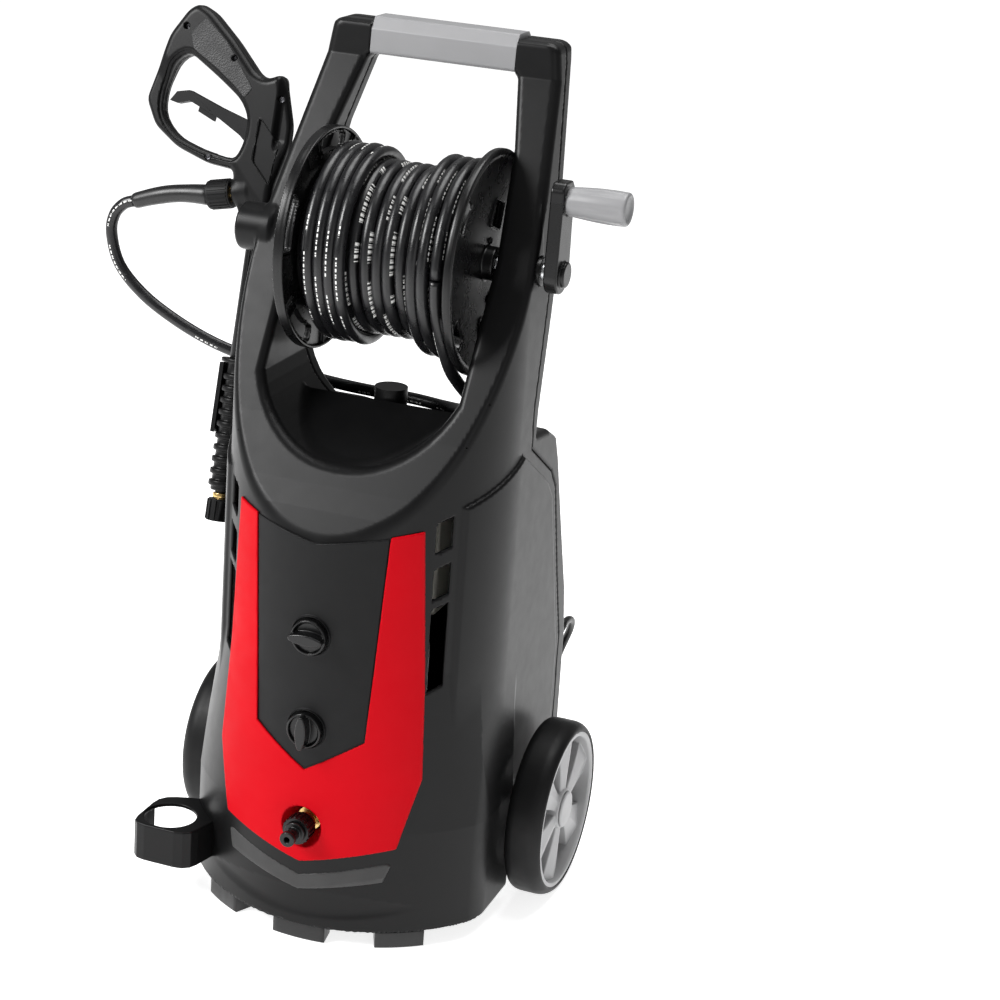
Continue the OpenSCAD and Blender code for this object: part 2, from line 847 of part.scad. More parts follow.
module inlet_nut() {
    color(black) difference() {
        union() {
            rod_y([0, -24, inlet_z], 14, 17.5);
            for (i = [0:17]) translate([0, -22, inlet_z]) rotate([0, i * 20, 0])
                translate([13.4, 0, -1]) cube([1.5, 14, 2]);
        }
        rod_y([0, -30, inlet_z], 8 + run, 40);
    }
}

module inlet_nipple() {
    color(black) difference() {
        union() {
            rod_y([0, -28.5, inlet_z], 11, 4);
            rod_y([0, -39, inlet_z], 6.5, 11);
            rod_y([0, -45, inlet_z], 8, 6);
            rod_y([0, -26, inlet_z], 4.95, 18);
        }
        rod_y([0, -60, inlet_z], 3, 70);
    }
}

// Motor and pump stand on the tray, on one upright axis
motor_y = 160;
motor_low_z = 150;
pump_low_z = 44;
motor_r = 58;
rotor_shaft_r = 8;

module motor_stator() {
    color("#6d7074") translate([0, motor_y, motor_low_z]) difference() {
        union() {
            cylinder(r = motor_r, h = 120);
            translate([0, 0, -6]) cylinder(r = 50, h = 6);
        }
        translate([0, 0, 10]) cylinder(r = 36, h = 100);
        translate([0, 0, -10]) cylinder(r = rotor_shaft_r + run, h = 140);
    }
}

module motor_rotor() {
    color(steel) translate([0, motor_y, 0]) {
        translate([0, 0, 126]) cylinder(r = rotor_shaft_r, h = 180);
        translate([0, 0, motor_low_z + 16]) cylinder(r = 35.4, h = 88);
        // Slanted pump drive, drawn as a plain disc
        translate([0, 0, 126]) cylinder(r = 34, h = 12);
    }
}

module motor_fan() {
    color("#dcdcd4") translate([0, motor_y, 278]) difference() {
        union() {
            cylinder(r = 14, h = 22);
            cylinder(r = 52, h = 2);
            for (i = [0:8]) rotate([0, 0, i * 40]) translate([12, -1, 0]) cube([40, 2, 20]);
        }
        translate([0, 0, -1]) cylinder(r = rotor_shaft_r, h = 30);
    }
}

module pump_body() {
    color("#9a9da0") difference() {
        translate([0, motor_y, pump_low_z]) union() {
            cylinder(r = 44, h = 70);
            translate([0, 0, 70]) tube(50, 40, 30);
            translate([-28, -76, 62]) cube([56, 40, 38]);
        }
        for (i = [0:2]) translate([0, motor_y, 60]) rotate([0, 0, 90 + i * 120])
            translate([24, 0, 0]) cylinder(r = 7 + run, h = 60);
        rod_y([0, 60, inlet_z], 8, motor_y - 124);
    }
}

module pump_pistons() {
    color(steel) for (i = [0:2]) translate([0, motor_y, 66]) rotate([0, 0, 90 + i * 120])
        translate([24, 0, 0]) cylinder(r = 7, h = 58);
}

module detergent_tank() {
    color("#e6e2d2") difference() {
        union() {
            translate([-80, 118, 330]) cube([160, 110, 160]);
            translate([0, 163, 489]) cylinder(r = 13, h = 50);
        }
        translate([-77, 121, 333]) cube([154, 104, 154]);
        translate([0, 163, 480]) cylinder(r = 10, h = 70);
    }
}

module cap_seal() {
    color("#8a3a2a") translate([0, 163, 539.2]) tube(13, 9, 2);
}

module detergent_cap() {
    color("#18181a") translate([0, 163, 524]) difference() {
        cylinder(r = 17, h = 26);
        translate([0, 0, -1]) cylinder(r = 13.3, h = 18.4);
    }
}

// Screws that hold the rear shell to the front shell
module shell_screws() {
    color(steel) screw_row() rod_y([0, -38, 0], 2.5, 38);
}

// The screws' places: what is drawn at each ends at the screw's head
module screw_row() {
    for (side = [-1, 1], place = [[352, 180], [300, 400]])
        translate([side * 139, place[0], place[1]]) children();
}

module cord_gland() {
    color(dark) difference() {
        union() {
            rod_y([gland_x, gland_y - 8, gland_z], 7.3, 10);
            rod_y([gland_x, gland_y + 1, gland_z], 10, 4);
            translate([gland_x, gland_y + 5, gland_z]) rotate([-90, 0, 0]) cylinder(r1 = 8, r2 = 5.2, h = 27);
        }
        rod_y([gland_x, gland_y - 20, gland_z], 3, 50);
    }
}

module power_cord() {
    color("#161618") swept_tube(smooth(cord_route, 2), cord_d);
}

module cord_coil() {
    color("#161618") translate([coil_x, coil_y, 0]) rotate_extrude($fn = 64)
        translate([coil_r - coil_half_w, 0]) square([2 * coil_half_w, 2 * coil_half_w]);
}

module plug() {
    color("#1c1c1e") translate([coil_x - 98, coil_y + 6, plug_r]) {
        rotate([-90, 0, 0]) cylinder(r1 = 6, r2 = 13, h = 20);
        translate([0, 20, 0]) rotate([-90, 0, 0]) cylinder(r = plug_r, h = 16);
        for (x = [-9.5, 9.5]) translate([x, 36, 0]) rotate([-90, 0, 0]) cylinder(r = 2.4, h = 19);
    }
}

front_shell();
rear_shell();
red_panel();
control_panel();
bumper_strip();
handle_tube();
handle_grip();
chassis();
feet();
lance_ring();
lance_clip();
axle();
axle_clips();
tyre(-1);  // tyre_left
rim(-1);  // rim_left
hub_cap(-1);  // hub_cap_left
tyre(1);  // tyre_right
rim(1);  // rim_right
hub_cap(1);  // hub_cap_right
reel_bushes();
reel_drum();
color(black) reel_turn(reel_left_x) reel_flange();  // reel_flange_left
color(black) reel_turn(reel_right_x) mirror([0, 0, 1]) reel_flange();  // reel_flange_right
reel_shaft();
hose_winding();
crank_arm();
crank_pin();
crank_grip();
hose_free();
hose_sleeve();
hose_nut();
gun_left_half();
gun_right_half();
gun_valve();
gun_screws();
trigger();
trigger_pin();
safety_latch();
lance_barrel();
lance_sleeve();
lance_nozzle();
nozzle_nut();
upper_knob();
lower_knob();
inlet_fitting();
inlet_nut();
inlet_nipple();
motor_stator();
motor_rotor();
motor_fan();
pump_body();
pump_pistons();
detergent_tank();
cap_seal();
detergent_cap();
shell_screws();
cord_gland();
power_cord();
cord_coil();
plug();
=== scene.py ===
import json
import math

import bpy
import numpy as np
from mathutils import Matrix, Vector


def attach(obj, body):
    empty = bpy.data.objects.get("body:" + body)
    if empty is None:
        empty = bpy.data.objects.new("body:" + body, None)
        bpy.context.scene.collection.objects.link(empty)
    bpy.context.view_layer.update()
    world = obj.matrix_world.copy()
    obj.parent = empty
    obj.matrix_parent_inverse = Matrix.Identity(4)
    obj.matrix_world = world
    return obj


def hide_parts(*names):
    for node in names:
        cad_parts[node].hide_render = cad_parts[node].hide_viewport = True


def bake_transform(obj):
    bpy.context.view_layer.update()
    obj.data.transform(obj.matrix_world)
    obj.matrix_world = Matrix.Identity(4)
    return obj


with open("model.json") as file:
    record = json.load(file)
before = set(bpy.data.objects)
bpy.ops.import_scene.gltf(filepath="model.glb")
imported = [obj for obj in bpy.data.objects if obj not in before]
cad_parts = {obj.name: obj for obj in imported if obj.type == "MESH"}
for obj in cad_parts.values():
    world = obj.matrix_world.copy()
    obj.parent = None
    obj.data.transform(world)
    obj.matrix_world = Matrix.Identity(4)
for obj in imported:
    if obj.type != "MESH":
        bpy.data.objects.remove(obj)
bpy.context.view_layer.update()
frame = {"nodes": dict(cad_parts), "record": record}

# Shapes are written in millimetres and become metres when a mesh is made.
MM = 0.001
# Radius and middle of the housing's round front
BODY_R = 150
PLAN_Y = 142
# Axes of the reel and of the wheels
REEL_Y, REEL_Z = 167, 692
AXLE_Y, AXLE_Z = 224, 95
# Diameters of the high-pressure hose and of the mains cord
HOSE_D = 12.5
CORD_D = 8.5


# ---------------------------------------------------------------- camera
def make_camera():
    azimuth, elevation, roll = (math.radians(v) for v in (18.83, 19.15, 4.42))
    back = Vector((math.sin(azimuth) * math.cos(elevation),
                   -math.cos(azimuth) * math.cos(elevation), math.sin(elevation)))
    level = Vector((math.cos(azimuth), math.sin(azimuth), 0))
    upright = back.cross(level)
    right = level * math.cos(roll) + upright * math.sin(roll)
    up = upright * math.cos(roll) - level * math.sin(roll)
    data = bpy.data.cameras.new("camera")
    data.sensor_width = 36
    data.lens = 86.4
    data.clip_end = 80
    camera = bpy.data.objects.new("camera", data)
    camera.matrix_world = Matrix((
        (right.x, up.x, back.x, 0.8677),
        (right.y, up.y, back.y, -2.0131),
        (right.z, up.z, back.z, 1.2493),
        (0, 0, 0, 1)))
    bpy.context.collection.objects.link(camera)
    bpy.context.scene.camera = camera


make_camera()


# ---------------------------------------------------------------- materials
class Nodes:
    """A short hand for building a node tree."""

    def __init__(self, name):
        self.material = bpy.data.materials.new(name)
        self.material.use_nodes = True
        self.tree = self.material.node_tree
        self.shader = self.tree.nodes["Principled BSDF"]
        self.place = self.add("ShaderNodeTexCoord").outputs["Object"]

    def add(self, kind, **values):
        node = self.tree.nodes.new(kind)
        for key, value in values.items():
            if key in node.inputs:
                node.inputs[key].default_value = value
            else:
                setattr(node, key, value)
        return node

    def link(self, source, target):
        self.tree.links.new(source, target)

    def noise(self, scale, detail=3, stretch=None):
        node = self.add("ShaderNodeTexNoise", Scale=scale, Detail=detail)
        if stretch:
            mapping = self.add("ShaderNodeMapping", Scale=stretch)
            self.link(self.place, mapping.inputs["Vector"])
            self.link(mapping.outputs[0], node.inputs["Vector"])
        else:
            self.link(self.place, node.inputs["Vector"])
        return node.outputs[0]

    def ramp(self, source, low, high, out_low, out_high):
        node = self.add("ShaderNodeMapRange")
        for index, value in enumerate((low, high, out_low, out_high), 1):
            node.inputs[index].default_value = value
        self.link(source, node.inputs[0])
        return node.outputs[0]

    def mix(self, factor, first, second):
        node = self.add("ShaderNodeMix", data_type="RGBA")
        for value, index in ((first, 6), (second, 7)):
            if isinstance(value, tuple):
                node.inputs[index].default_value = (*value, 1)
            else:
                self.link(value, node.inputs[index])
        self.link(factor, node.inputs[0])
        return node.outputs[2]


def surface(name, color, rough, grain, depth, metallic=0.0, spread=0.12, rough_spread=0.06,
            stretch=None, cells=False, **settings):
    """A moulded or metal surface: uneven colour and roughness, and a grain size in mm."""
    n = Nodes(name)
    tone = n.ramp(n.noise(14, 4), 0.3, 0.7, 0, 1)
    darker, lighter = (tuple(c * share for c in color) for share in (1 - spread, 1 + spread))
    n.link(n.mix(tone, darker, lighter), n.shader.inputs["Base Color"])
    n.link(n.ramp(n.noise(60, 3), 0.3, 0.7, rough - rough_spread, rough + rough_spread),
           n.shader.inputs["Roughness"])
    if cells:
        pattern = n.add("ShaderNodeTexVoronoi", Scale=1000 / grain)
        n.link(n.place, pattern.inputs["Vector"])
        fine = pattern.outputs[0]
    else:
        fine = n.noise(1000 / grain, 2, stretch)
    bump = n.add("ShaderNodeBump", Strength=0.6, Distance=depth * MM)
    n.link(fine, bump.inputs["Height"])
    n.link(bump.outputs[0], n.shader.inputs["Normal"])
    n.shader.inputs["Metallic"].default_value = metallic
    for key, value in settings.items():
        n.shader.inputs[key.replace("_", " ")].default_value = value
    return n.material


def printed_hose():
    """Smooth black hose with a broken white print line and short diagonal ticks along it."""
    n = Nodes("printed_hose")
    along = n.add("ShaderNodeAttribute", attribute_name="along").outputs["Fac"]
    around = n.add("ShaderNodeAttribute", attribute_name="around").outputs["Fac"]

    def wave(source, period, share, offset=0.0):
        scaled = n.add("ShaderNodeMath", operation="MULTIPLY_ADD")
        n.link(source, scaled.inputs[0])
        scaled.inputs[1].default_value = 1 / period
        scaled.inputs[2].default_value = offset
        part = n.add("ShaderNodeMath", operation="FRACT")
        n.link(scaled.outputs[0], part.inputs[0])
        less = n.add("ShaderNodeMath", operation="LESS_THAN")
        n.link(part.outputs[0], less.inputs[0])
        less.inputs[1].default_value = share
        return less.outputs[0]

    def both(a, b, operation="MULTIPLY"):
        node = n.add("ShaderNodeMath", operation=operation)
        n.link(a, node.inputs[0])
        n.link(b, node.inputs[1])
        return node.outputs[0]

    band = wave(around, 1, 0.17, 0.04)
    marks = both(wave(along, 5.7, 0.66), wave(along, 3.9, 0.82, 0.3))
    words = both(wave(along, 61, 0.7), wave(along, 197, 0.55))
    printing = both(both(band, marks), words)
    slanted = n.add("ShaderNodeMath", operation="MULTIPLY_ADD")
    n.link(around, slanted.inputs[0])
    slanted.inputs[1].default_value = 34
    n.link(along, slanted.inputs[2])
    ticks = wave(slanted.outputs[0], 31, 0.035)
    tone = n.ramp(n.noise(30, 3), 0.3, 0.7, 0, 1)
    plain = n.mix(tone, (0.004, 0.004, 0.0045), (0.007, 0.007, 0.008))
    n.link(n.mix(printing, n.mix(ticks, plain, (0.004, 0.004, 0.005)), (0.75, 0.75, 0.73)),
           n.shader.inputs["Base Color"])
    n.link(n.ramp(n.noise(90, 3), 0.3, 0.7, 0.24, 0.38), n.shader.inputs["Roughness"])
    n.shader.inputs["Specular IOR Level"].default_value = 0.4
    bump = n.add("ShaderNodeBump", Strength=0.5, Distance=0.0002)
    n.link(both(n.noise(700, 2), ticks, "SUBTRACT"), bump.inputs["Height"])
    n.link(bump.outputs[0], n.shader.inputs["Normal"])
    return n.material


MATERIALS = {
    "black_plastic": surface("black_plastic", (0.004, 0.004, 0.0042), 0.36, 0.5, 0.03,
                             spread=0.05, rough_spread=0.02, Specular_IOR_Level=0.17),
    "dark_plastic": surface("dark_plastic", (0.0045, 0.0045, 0.0048), 0.5, 0.6, 0.05,
                            rough_spread=0.03, Specular_IOR_Level=0.16),
    "gloss_black": surface("gloss_black", (0.004, 0.004, 0.0042), 0.28, 1.2, 0.02,
                           rough_spread=0.03, Specular_IOR_Level=0.3),
    "red_plastic": surface("red_plastic", (0.45, 0.001, 0.006), 0.5, 0.6, 0.03, spread=0.03,
                           Specular_IOR_Level=0.05),
    "grey_plastic": surface("grey_plastic", (0.21, 0.21, 0.215), 0.42, 0.6, 0.03, spread=0.04),
    "white_plastic": surface("white_plastic", (0.72, 0.70, 0.62), 0.45, 0.8, 0.04, spread=0.04),
    "tyre": surface("tyre", (0.005, 0.005, 0.0053), 0.46, 0.9, 0.06, Specular_IOR_Level=0.18),
    "rubber": surface("rubber", (0.005, 0.005, 0.0053), 0.36, 0.8, 0.04, Specular_IOR_Level=0.4),
    "steel": surface("steel", (0.60, 0.61, 0.62), 0.26, 0.8, 0.02, 1.0, 0.05, stretch=(0.15, 1, 1)),
    "brass": surface("brass", (0.72, 0.50, 0.20), 0.26, 0.9, 0.02, 1.0, 0.06),
    "aluminium": surface("aluminium", (0.60, 0.61, 0.62), 0.42, 1.6, 0.10, 1.0, 0.08),
    "motor_metal": surface("motor_metal", (0.20, 0.21, 0.22), 0.45, 0.7, 0.10, 0.8, 0.10,
                           stretch=(0.02, 0.02, 1)),
}
GRAINED = surface("grained_grip", (0.006, 0.006, 0.0065), 0.55, 1.7, 0.6, cells=True)
RIM_GREY = surface("rim_grey", (0.36, 0.36, 0.365), 0.4, 0.6, 0.03, spread=0.04)
STRIP = surface("strip_plastic", (0.02, 0.02, 0.02), 0.55, 0.6, 0.07)
DARK_STEEL = surface("dark_steel", (0.06, 0.06, 0.065), 0.34, 0.8, 0.02, 0.9)
HOSE = printed_hose()


# ---------------------------------------------------------------- mesh tools
def finish_piece(name, verts, faces, body, slot, nodes=(), material=None, smooth=True, values=None):
    mesh = bpy.data.meshes.new(name)
    verts = np.asarray(verts, np.float32)
    faces = np.asarray(faces, np.int32)
    mesh.vertices.add(len(verts))
    mesh.vertices.foreach_set("co", verts.ravel())
    sides = faces.shape[1]
    mesh.loops.add(faces.size)
    mesh.loops.foreach_set("vertex_index", faces.ravel())
    mesh.polygons.add(len(faces))
    mesh.polygons.foreach_set("loop_start", np.arange(0, faces.size, sides, dtype=np.int32))
    mesh.update(calc_edges=True)
    mesh.validate()
    if smooth:
        mesh.shade_smooth()
    for key, numbers in (values or {}).items():
        mesh.attributes.new(key, "FLOAT", "POINT").data.foreach_set(
            "value", np.asarray(numbers, np.float32))
    mesh.materials.append(material or MATERIALS[slot])
    piece = bpy.data.objects.new(name, mesh)
    bpy.context.collection.objects.link(piece)
    if body:
        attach(piece, body)
    if nodes:
        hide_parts(*nodes)
    return piece


def grid(low, high, step):
    x, y, z = (np.arange(a, b + step, step, dtype=np.float32) for a, b in zip(low, high))
    return x[:, None, None], y[None, :, None], z[None, None, :]


def outline(u, v, points):
    """Distance to a closed outline, negative inside."""
    shape = np.broadcast(u, v).shape
    near = np.full(shape, 1e9, np.float32)
    inside = np.zeros(shape, bool)
    corners = np.array(points, np.float32)
    for a, b in zip(corners, np.roll(corners, -1, axis=0)):
        e = b - a
        du, dv = u - a[0], v - a[1]
        t = np.clip((du * e[0] + dv * e[1]) / (e @ e), 0, 1)
        near = np.minimum(near, (du - e[0] * t) ** 2 + (dv - e[1] * t) ** 2)
        if a[1] != b[1]:
            inside ^= ((a[1] <= v) != (b[1] <= v)) & (du < dv * e[0] / e[1])
    return np.where(inside, -1, 1) * np.sqrt(near)


def meet(a, b, r):
    """Common part of two solids, its edge rounded to radius r."""
    return np.minimum(np.maximum(a, b), -r) + np.hypot(np.maximum(a + r, 0), np.maximum(b + r, 0))


def join(a, b, r):
    """Both solids, with a fillet of radius r between them."""
    return np.maximum(np.minimum(a, b), r) - np.hypot(np.maximum(r - a, 0), np.maximum(r - b, 0))


def cut(a, b, r):
    """The first solid without the second, its new edge rounded to radius r."""
    return meet(a, -b, r)


def ramp(value, low, high):
    t = np.clip((value - low) / (high - low), 0, 1)
    return t * t * (3 - 2 * t)


def net(field, low, step):
    """Vertices (in the grid's own units) and faces of the surface where the field is zero."""
    inside = field < 0
    shape = tuple(n - 1 for n in field.shape)
    count = np.zeros(shape, np.uint8)
    corners = [(i, j, k) for i in (0, 1) for j in (0, 1) for k in (0, 1)]
    for i, j, k in corners:
        count += inside[i:i + shape[0], j:j + shape[1], k:k + shape[2]]
    active = (count > 0) & (count < 8)
    cells = np.argwhere(active)
    index = np.full(shape, -1, np.int32)
    index[active] = np.arange(len(cells), dtype=np.int32)
    total = np.zeros((len(cells), 3), np.float32)
    number = np.zeros(len(cells), np.float32)
    for axis in range(3):
        for corner in corners:
            if corner[axis]:
                continue
            first = cells + corner
            second = first.copy()
            second[:, axis] += 1
            a, b = field[tuple(first.T)], field[tuple(second.T)]
            crossing = (a < 0) != (b < 0)
            t = np.where(crossing, a / np.where(crossing, a - b, 1), 0)
            point = np.tile(np.array(corner, np.float32), (len(cells), 1))
            point[:, axis] += t
            total += point * crossing[:, None]
            number += crossing
    verts = np.array(low, np.float32) + step * (cells + total / number[:, None])
    quads = []
    for axis in range(3):
        u, v = (axis + 1) % 3, (axis + 2) % 3
        ahead = [slice(None)] * 3
        ahead[axis] = slice(1, None)
        behind = [slice(None)] * 3
        behind[axis] = slice(None, -1)
        first, second = inside[tuple(behind)], inside[tuple(ahead)]
        p = np.argwhere(first != second)
        p = p[(p[:, u] > 0) & (p[:, v] > 0) & (p[:, u] < shape[u]) & (p[:, v] < shape[v])]
        leaving = first[tuple(p.T)]
        du, dv = np.eye(3, dtype=int)[u], np.eye(3, dtype=int)[v]
        quad = np.stack([index[tuple((p - du - dv).T)], index[tuple((p - dv).T)],
                         index[tuple(p.T)], index[tuple((p - du).T)]], axis=1)
        quads.append(np.where(leaving[:, None], quad, quad[:, ::-1]))
    return verts, np.concatenate(quads)


def settle(verts, shape, step):
    """Moves vertices onto the exact surface, and gives the outward normals there."""
    p = verts.astype(np.float64)
    h = 0.15
    for turn in range(3):
        def at(axis, by):
            q = p.copy()
            q[:, axis] += by
            return shape(q[:, 0], q[:, 1], q[:, 2])
        slope = np.stack([(at(k, h) - at(k, -h)) / (2 * h) for k in range(3)], 1)
        size = np.maximum(np.linalg.norm(slope, axis=1), 0.3)
        normal = slope / size[:, None]
        if turn < 2:
            far = np.clip(shape(p[:, 0], p[:, 1], p[:, 2]) / size, -0.45 * step, 0.45 * step)
            p -= far[:, None] * normal
    return p, normal


def skin(name, shape, low, high, step, body, slot, nodes=(), material=None, place=None, field=None):
    """The surface of a shape, a function of x, y, z that is negative inside, as a piece.
    place moves its points, given in millimetres, and turns its normals."""
    if field is None:
        field = shape(*grid(low, high, step))
    verts, faces = net(field, low, step)
    verts, normals = settle(verts, shape, step)
    if place is not None:
        verts, normals = place(verts), place(normals) - place(np.zeros((1, 3)))
    piece = finish_piece(name, verts * MM, faces, body, slot, nodes, material)
    piece.data.normals_split_custom_set_from_vertices(normals.tolist())
    return piece


def smooth_path(points, steps):
    """A smooth curve through all the points, with steps pieces between each two."""
    p = [np.array(v, float) for v in points]
    n = len(p) - 1
    out = []
    for i in range(n):
        a, b, c, d = p[max(i - 1, 0)], p[i], p[i + 1], p[min(i + 2, n)]
        for k in range(steps):
            s = k / steps
            out.append(0.5 * (2 * b + (c - a) * s + (2 * a - 5 * b + 4 * c - d) * s * s
                              + (3 * b - a - 3 * c + d) * s ** 3))
    out.append(p[n])
    return np.array(out)


def sweep(path, radius, sides=16, turn=0.0):
    """Closed tube around a path (mm): verts, faces, and how far along and around each vertex is."""
    path = np.asarray(path, float)
    n = len(path)
    radius = np.broadcast_to(radius, n)
    tangent = np.gradient(path, axis=0)
    tangent /= np.linalg.norm(tangent, axis=1)[:, None]
    u = np.cross([0, 0, 1] if abs(tangent[0][2]) < 0.9 else [0, 1, 0], tangent[0])
    along = np.concatenate([[0], np.cumsum(np.linalg.norm(np.diff(path, axis=0), axis=1))])
    rings = []
    angles = np.linspace(0, 2 * math.pi, sides, endpoint=False) + turn
    for i in range(n):
        u = u - tangent[i] * (u @ tangent[i])
        u /= np.linalg.norm(u)
        w = np.cross(tangent[i], u)
        spokes = np.cos(angles)[:, None] * u + np.sin(angles)[:, None] * w
        rings.append(path[i] + radius[i] * spokes)
    verts = np.concatenate(rings)
    k = np.arange(sides)
    m = (k + 1) % sides
    walls = [np.stack([i * sides + k, i * sides + m, (i + 1) * sides + m, (i + 1) * sides + k], 1)
             for i in range(n - 1)]
    half = sides // 2
    last = (n - 1) * sides
    caps = []
    for j in range(half - 1):
        caps.append([j + 1, j, sides - 1 - j, sides - 2 - j])
        caps.append([last + j, last + j + 1, last + sides - 2 - j, last + sides - 1 - j])
    faces = np.concatenate(walls + [np.array(caps)])
    around = np.tile(k / sides, n)
    return verts, faces, np.repeat(along, sides), np.minimum(around, 1 - around) * 2


def lathe(profile, segments=48, shape=None):
    """Turns [along, radius] points about the first axis: closed when both ends have radius 0."""
    t = np.linspace(0, 2 * math.pi, segments, endpoint=False)
    verts = []
    for a, r in profile:
        rr = r + (shape(a, r, t) if shape else 0) * np.ones(segments)
        verts.append(np.stack([np.full(segments, a), rr * np.cos(t), rr * np.sin(t)], 1))
    verts = np.concatenate(verts)
    k = np.arange(segments)
    m = (k + 1) % segments
    faces = [np.stack([i * segments + k, i * segments + m, (i + 1) * segments + m,
                       (i + 1) * segments + k], 1) for i in range(len(profile) - 1)]
    return verts, np.concatenate(faces)


def corner(a, b, c, radius, places):
    """The rounded corner b between its neighbours a and c, at places from 0 to 1 along it."""
    r = min(radius, np.linalg.norm(a - b) / 2.1, np.linalg.norm(c - b) / 2.1)
    start = b + (a - b) / np.linalg.norm(a - b) * r
    end = b + (c - b) / np.linalg.norm(c - b) * r
    return [start * (1 - s) ** 2 + 2 * b * s * (1 - s) + end * s * s for s in places]


def rounded_profile(points, radius, steps=4):
    """An open [along, radius] outline with its inner corners rounded."""
    p = [np.array(v, float) for v in points]
    out = [p[0]]
    for a, b, c in zip(p, p[1:], p[2:]):
        out += corner(a, b, c, radius, [i / steps for i in range(steps + 1)])
    out.append(p[-1])
    return out


def rounded_outline(points, radius):
    """Closed outline with its corners rounded."""
    p = [np.array(v, float) for v in points]
    out = []
    for i, b in enumerate(p):
        a, c = p[i - 1], p[(i + 1) % len(p)]
        out += corner(a, b, c, radius, (0, 0.33, 0.67, 1))
    return out


def merged(parts):
    """Several (verts, faces) meshes as one."""
    verts, faces, start = [], [], 0
    for v, f in parts:
        verts.append(v)
        faces.append(f + start)
        start += len(v)
    return np.concatenate(verts), np.concatenate(faces)


# ---------------------------------------------------------------- cords
HOSE_ROUTE = [(-328.4, 220, 684.7), (-340, 219, 680), (-351, 219, 667), (-354, 219, 646),
              (-344, 220, 613), (-316, 222, 584), (-278, 225, 561), (-238, 230, 543),
              (-198, 236, 531), (-160, 238, 525), (-120, 237, 521), (-80, 235, 519),
              (-40, 232, 519), (0, 228, 520), (38, 218, 521), (66, 199, 527), (83, 172, 541),
              (89, 147, 559), (85, 131, 574), (80, 112, 595), (77, 92, 628), (75, 78, 660),
              (75, 72, 690)]
CORD_ROUTE = [(136, 383, 238), (136, 402, 237), (135, 420, 229), (130, 432, 212),
              (122, 436, 190), (113, 437, 160), (109, 436, 130), (107, 432, 100),
              (104, 426, 74), (96, 418, 52), (82, 410, 38), (64, 405, 32)]
COIL_Y = 462
COIL_STEP = 8.75


def free_hose():
    path = smooth_path(HOSE_ROUTE, 5)
    verts, faces, along, around = sweep(path, HOSE_D / 2, 20, 3.4)
    piece = finish_piece("free_hose", verts * MM, faces, None, "rubber", ["hose_free"], HOSE,
                         values={"along": along, "around": around})
    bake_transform(piece)


def coil_points():
    """Turns of the stored cord, from the top layer's outside down to the floor."""
    inner, outer = 42.5, 68.8
    angle = math.radians(-52)
    points = []
    layers = [(74.8, inner), (inner, outer), (outer, inner), (inner, 73.0)]
    step = 2 * math.pi / 24
    for level, (first, last) in enumerate(layers):
        z = CORD_D / 2 + COIL_STEP * (3 - level)
        turns = abs(last - first) / COIL_STEP
        count = round(turns * 24)
        for i in range(count):
            r = first + (last - first) * i / count
            drop = COIL_STEP * ramp(i, count - 7, count) if level < 3 else 0
            points.append((r * math.cos(angle), COIL_Y + r * math.sin(angle), z - drop))
            angle -= step
    while math.degrees(angle) % 360 > 236 or math.degrees(angle) % 360 < 225:
        points.append((73 * math.cos(angle), COIL_Y + 73 * math.sin(angle), CORD_D / 2))
        angle -= step
        if len(points) > 500:
            break
    return points


def mains_cord():
    coil = coil_points()
    route = smooth_path(CORD_ROUTE + coil[:1], 3)
    rise = [(-62, 423, 5.5), (-80, 437, 8), (-92, 452, 12), (-97, 463, 15.5), (-98, 474, 16)]
    tail = smooth_path(coil[-2:] + rise, 3)[3:]
    path = np.concatenate([route, coil[1:-1], tail])
    verts, faces, _, _ = sweep(path, CORD_D / 2, 12)
    cord = finish_piece("mains_cord", verts * MM, faces, "frame", "rubber",
                        ["power_cord", "cord_coil"])
    body = [[0, 0], [0, 5.2], [4, 5.6], [16, 8.2], [22, 12.5], [26, 15.2], [34, 15.8], [37, 15],
            [37, 0]]

    def finger_grips(a, r, t):
        return np.where((a > 21) & (a < 36), -1.2 * np.cos(2 * t) ** 8, 0)

    plug_parts = [lathe(rounded_profile(body, 1.5), 48, finger_grips)]
    for x in (-9.5, 9.5):
        v, f = lathe(rounded_profile([[35, 0], [35, 2.4], [55, 2.4], [55, 0]], 1.0), 16)
        plug_parts.append((v + np.array([0, 0, x]), f))
    v, f = merged(plug_parts)
    v = np.stack([v[:, 2] - 98, v[:, 0] + 467, v[:, 1] + 16], 1)
    plug = finish_piece("mains_plug", v * MM, f, "frame", "rubber", ["plug"])
    ribs = [[-8, 0], [-8, 7.2], [1, 7.2], [1, 10], [5, 10], [5, 8.4]]
    for i in range(6):
        ribs += [[7 + 4 * i, 8.2 - 0.45 * i], [8.2 + 4 * i, 6.9 - 0.4 * i],
                 [9.6 + 4 * i, 6.9 - 0.4 * i], [10.8 + 4 * i, 8.0 - 0.45 * i]]
    ribs += [[32, 5.0], [32, 0]]
    v, f = lathe(rounded_profile(ribs, 0.5, 2), 32)
    v = np.stack([v[:, 1] + 136, v[:, 0] + 351, v[:, 2] + 238], 1)
    gland = finish_piece("cord_relief", v * MM, f[:, ::-1], "frame", "rubber", ["cord_gland"])
    return gland


free_hose()
mains_cord()


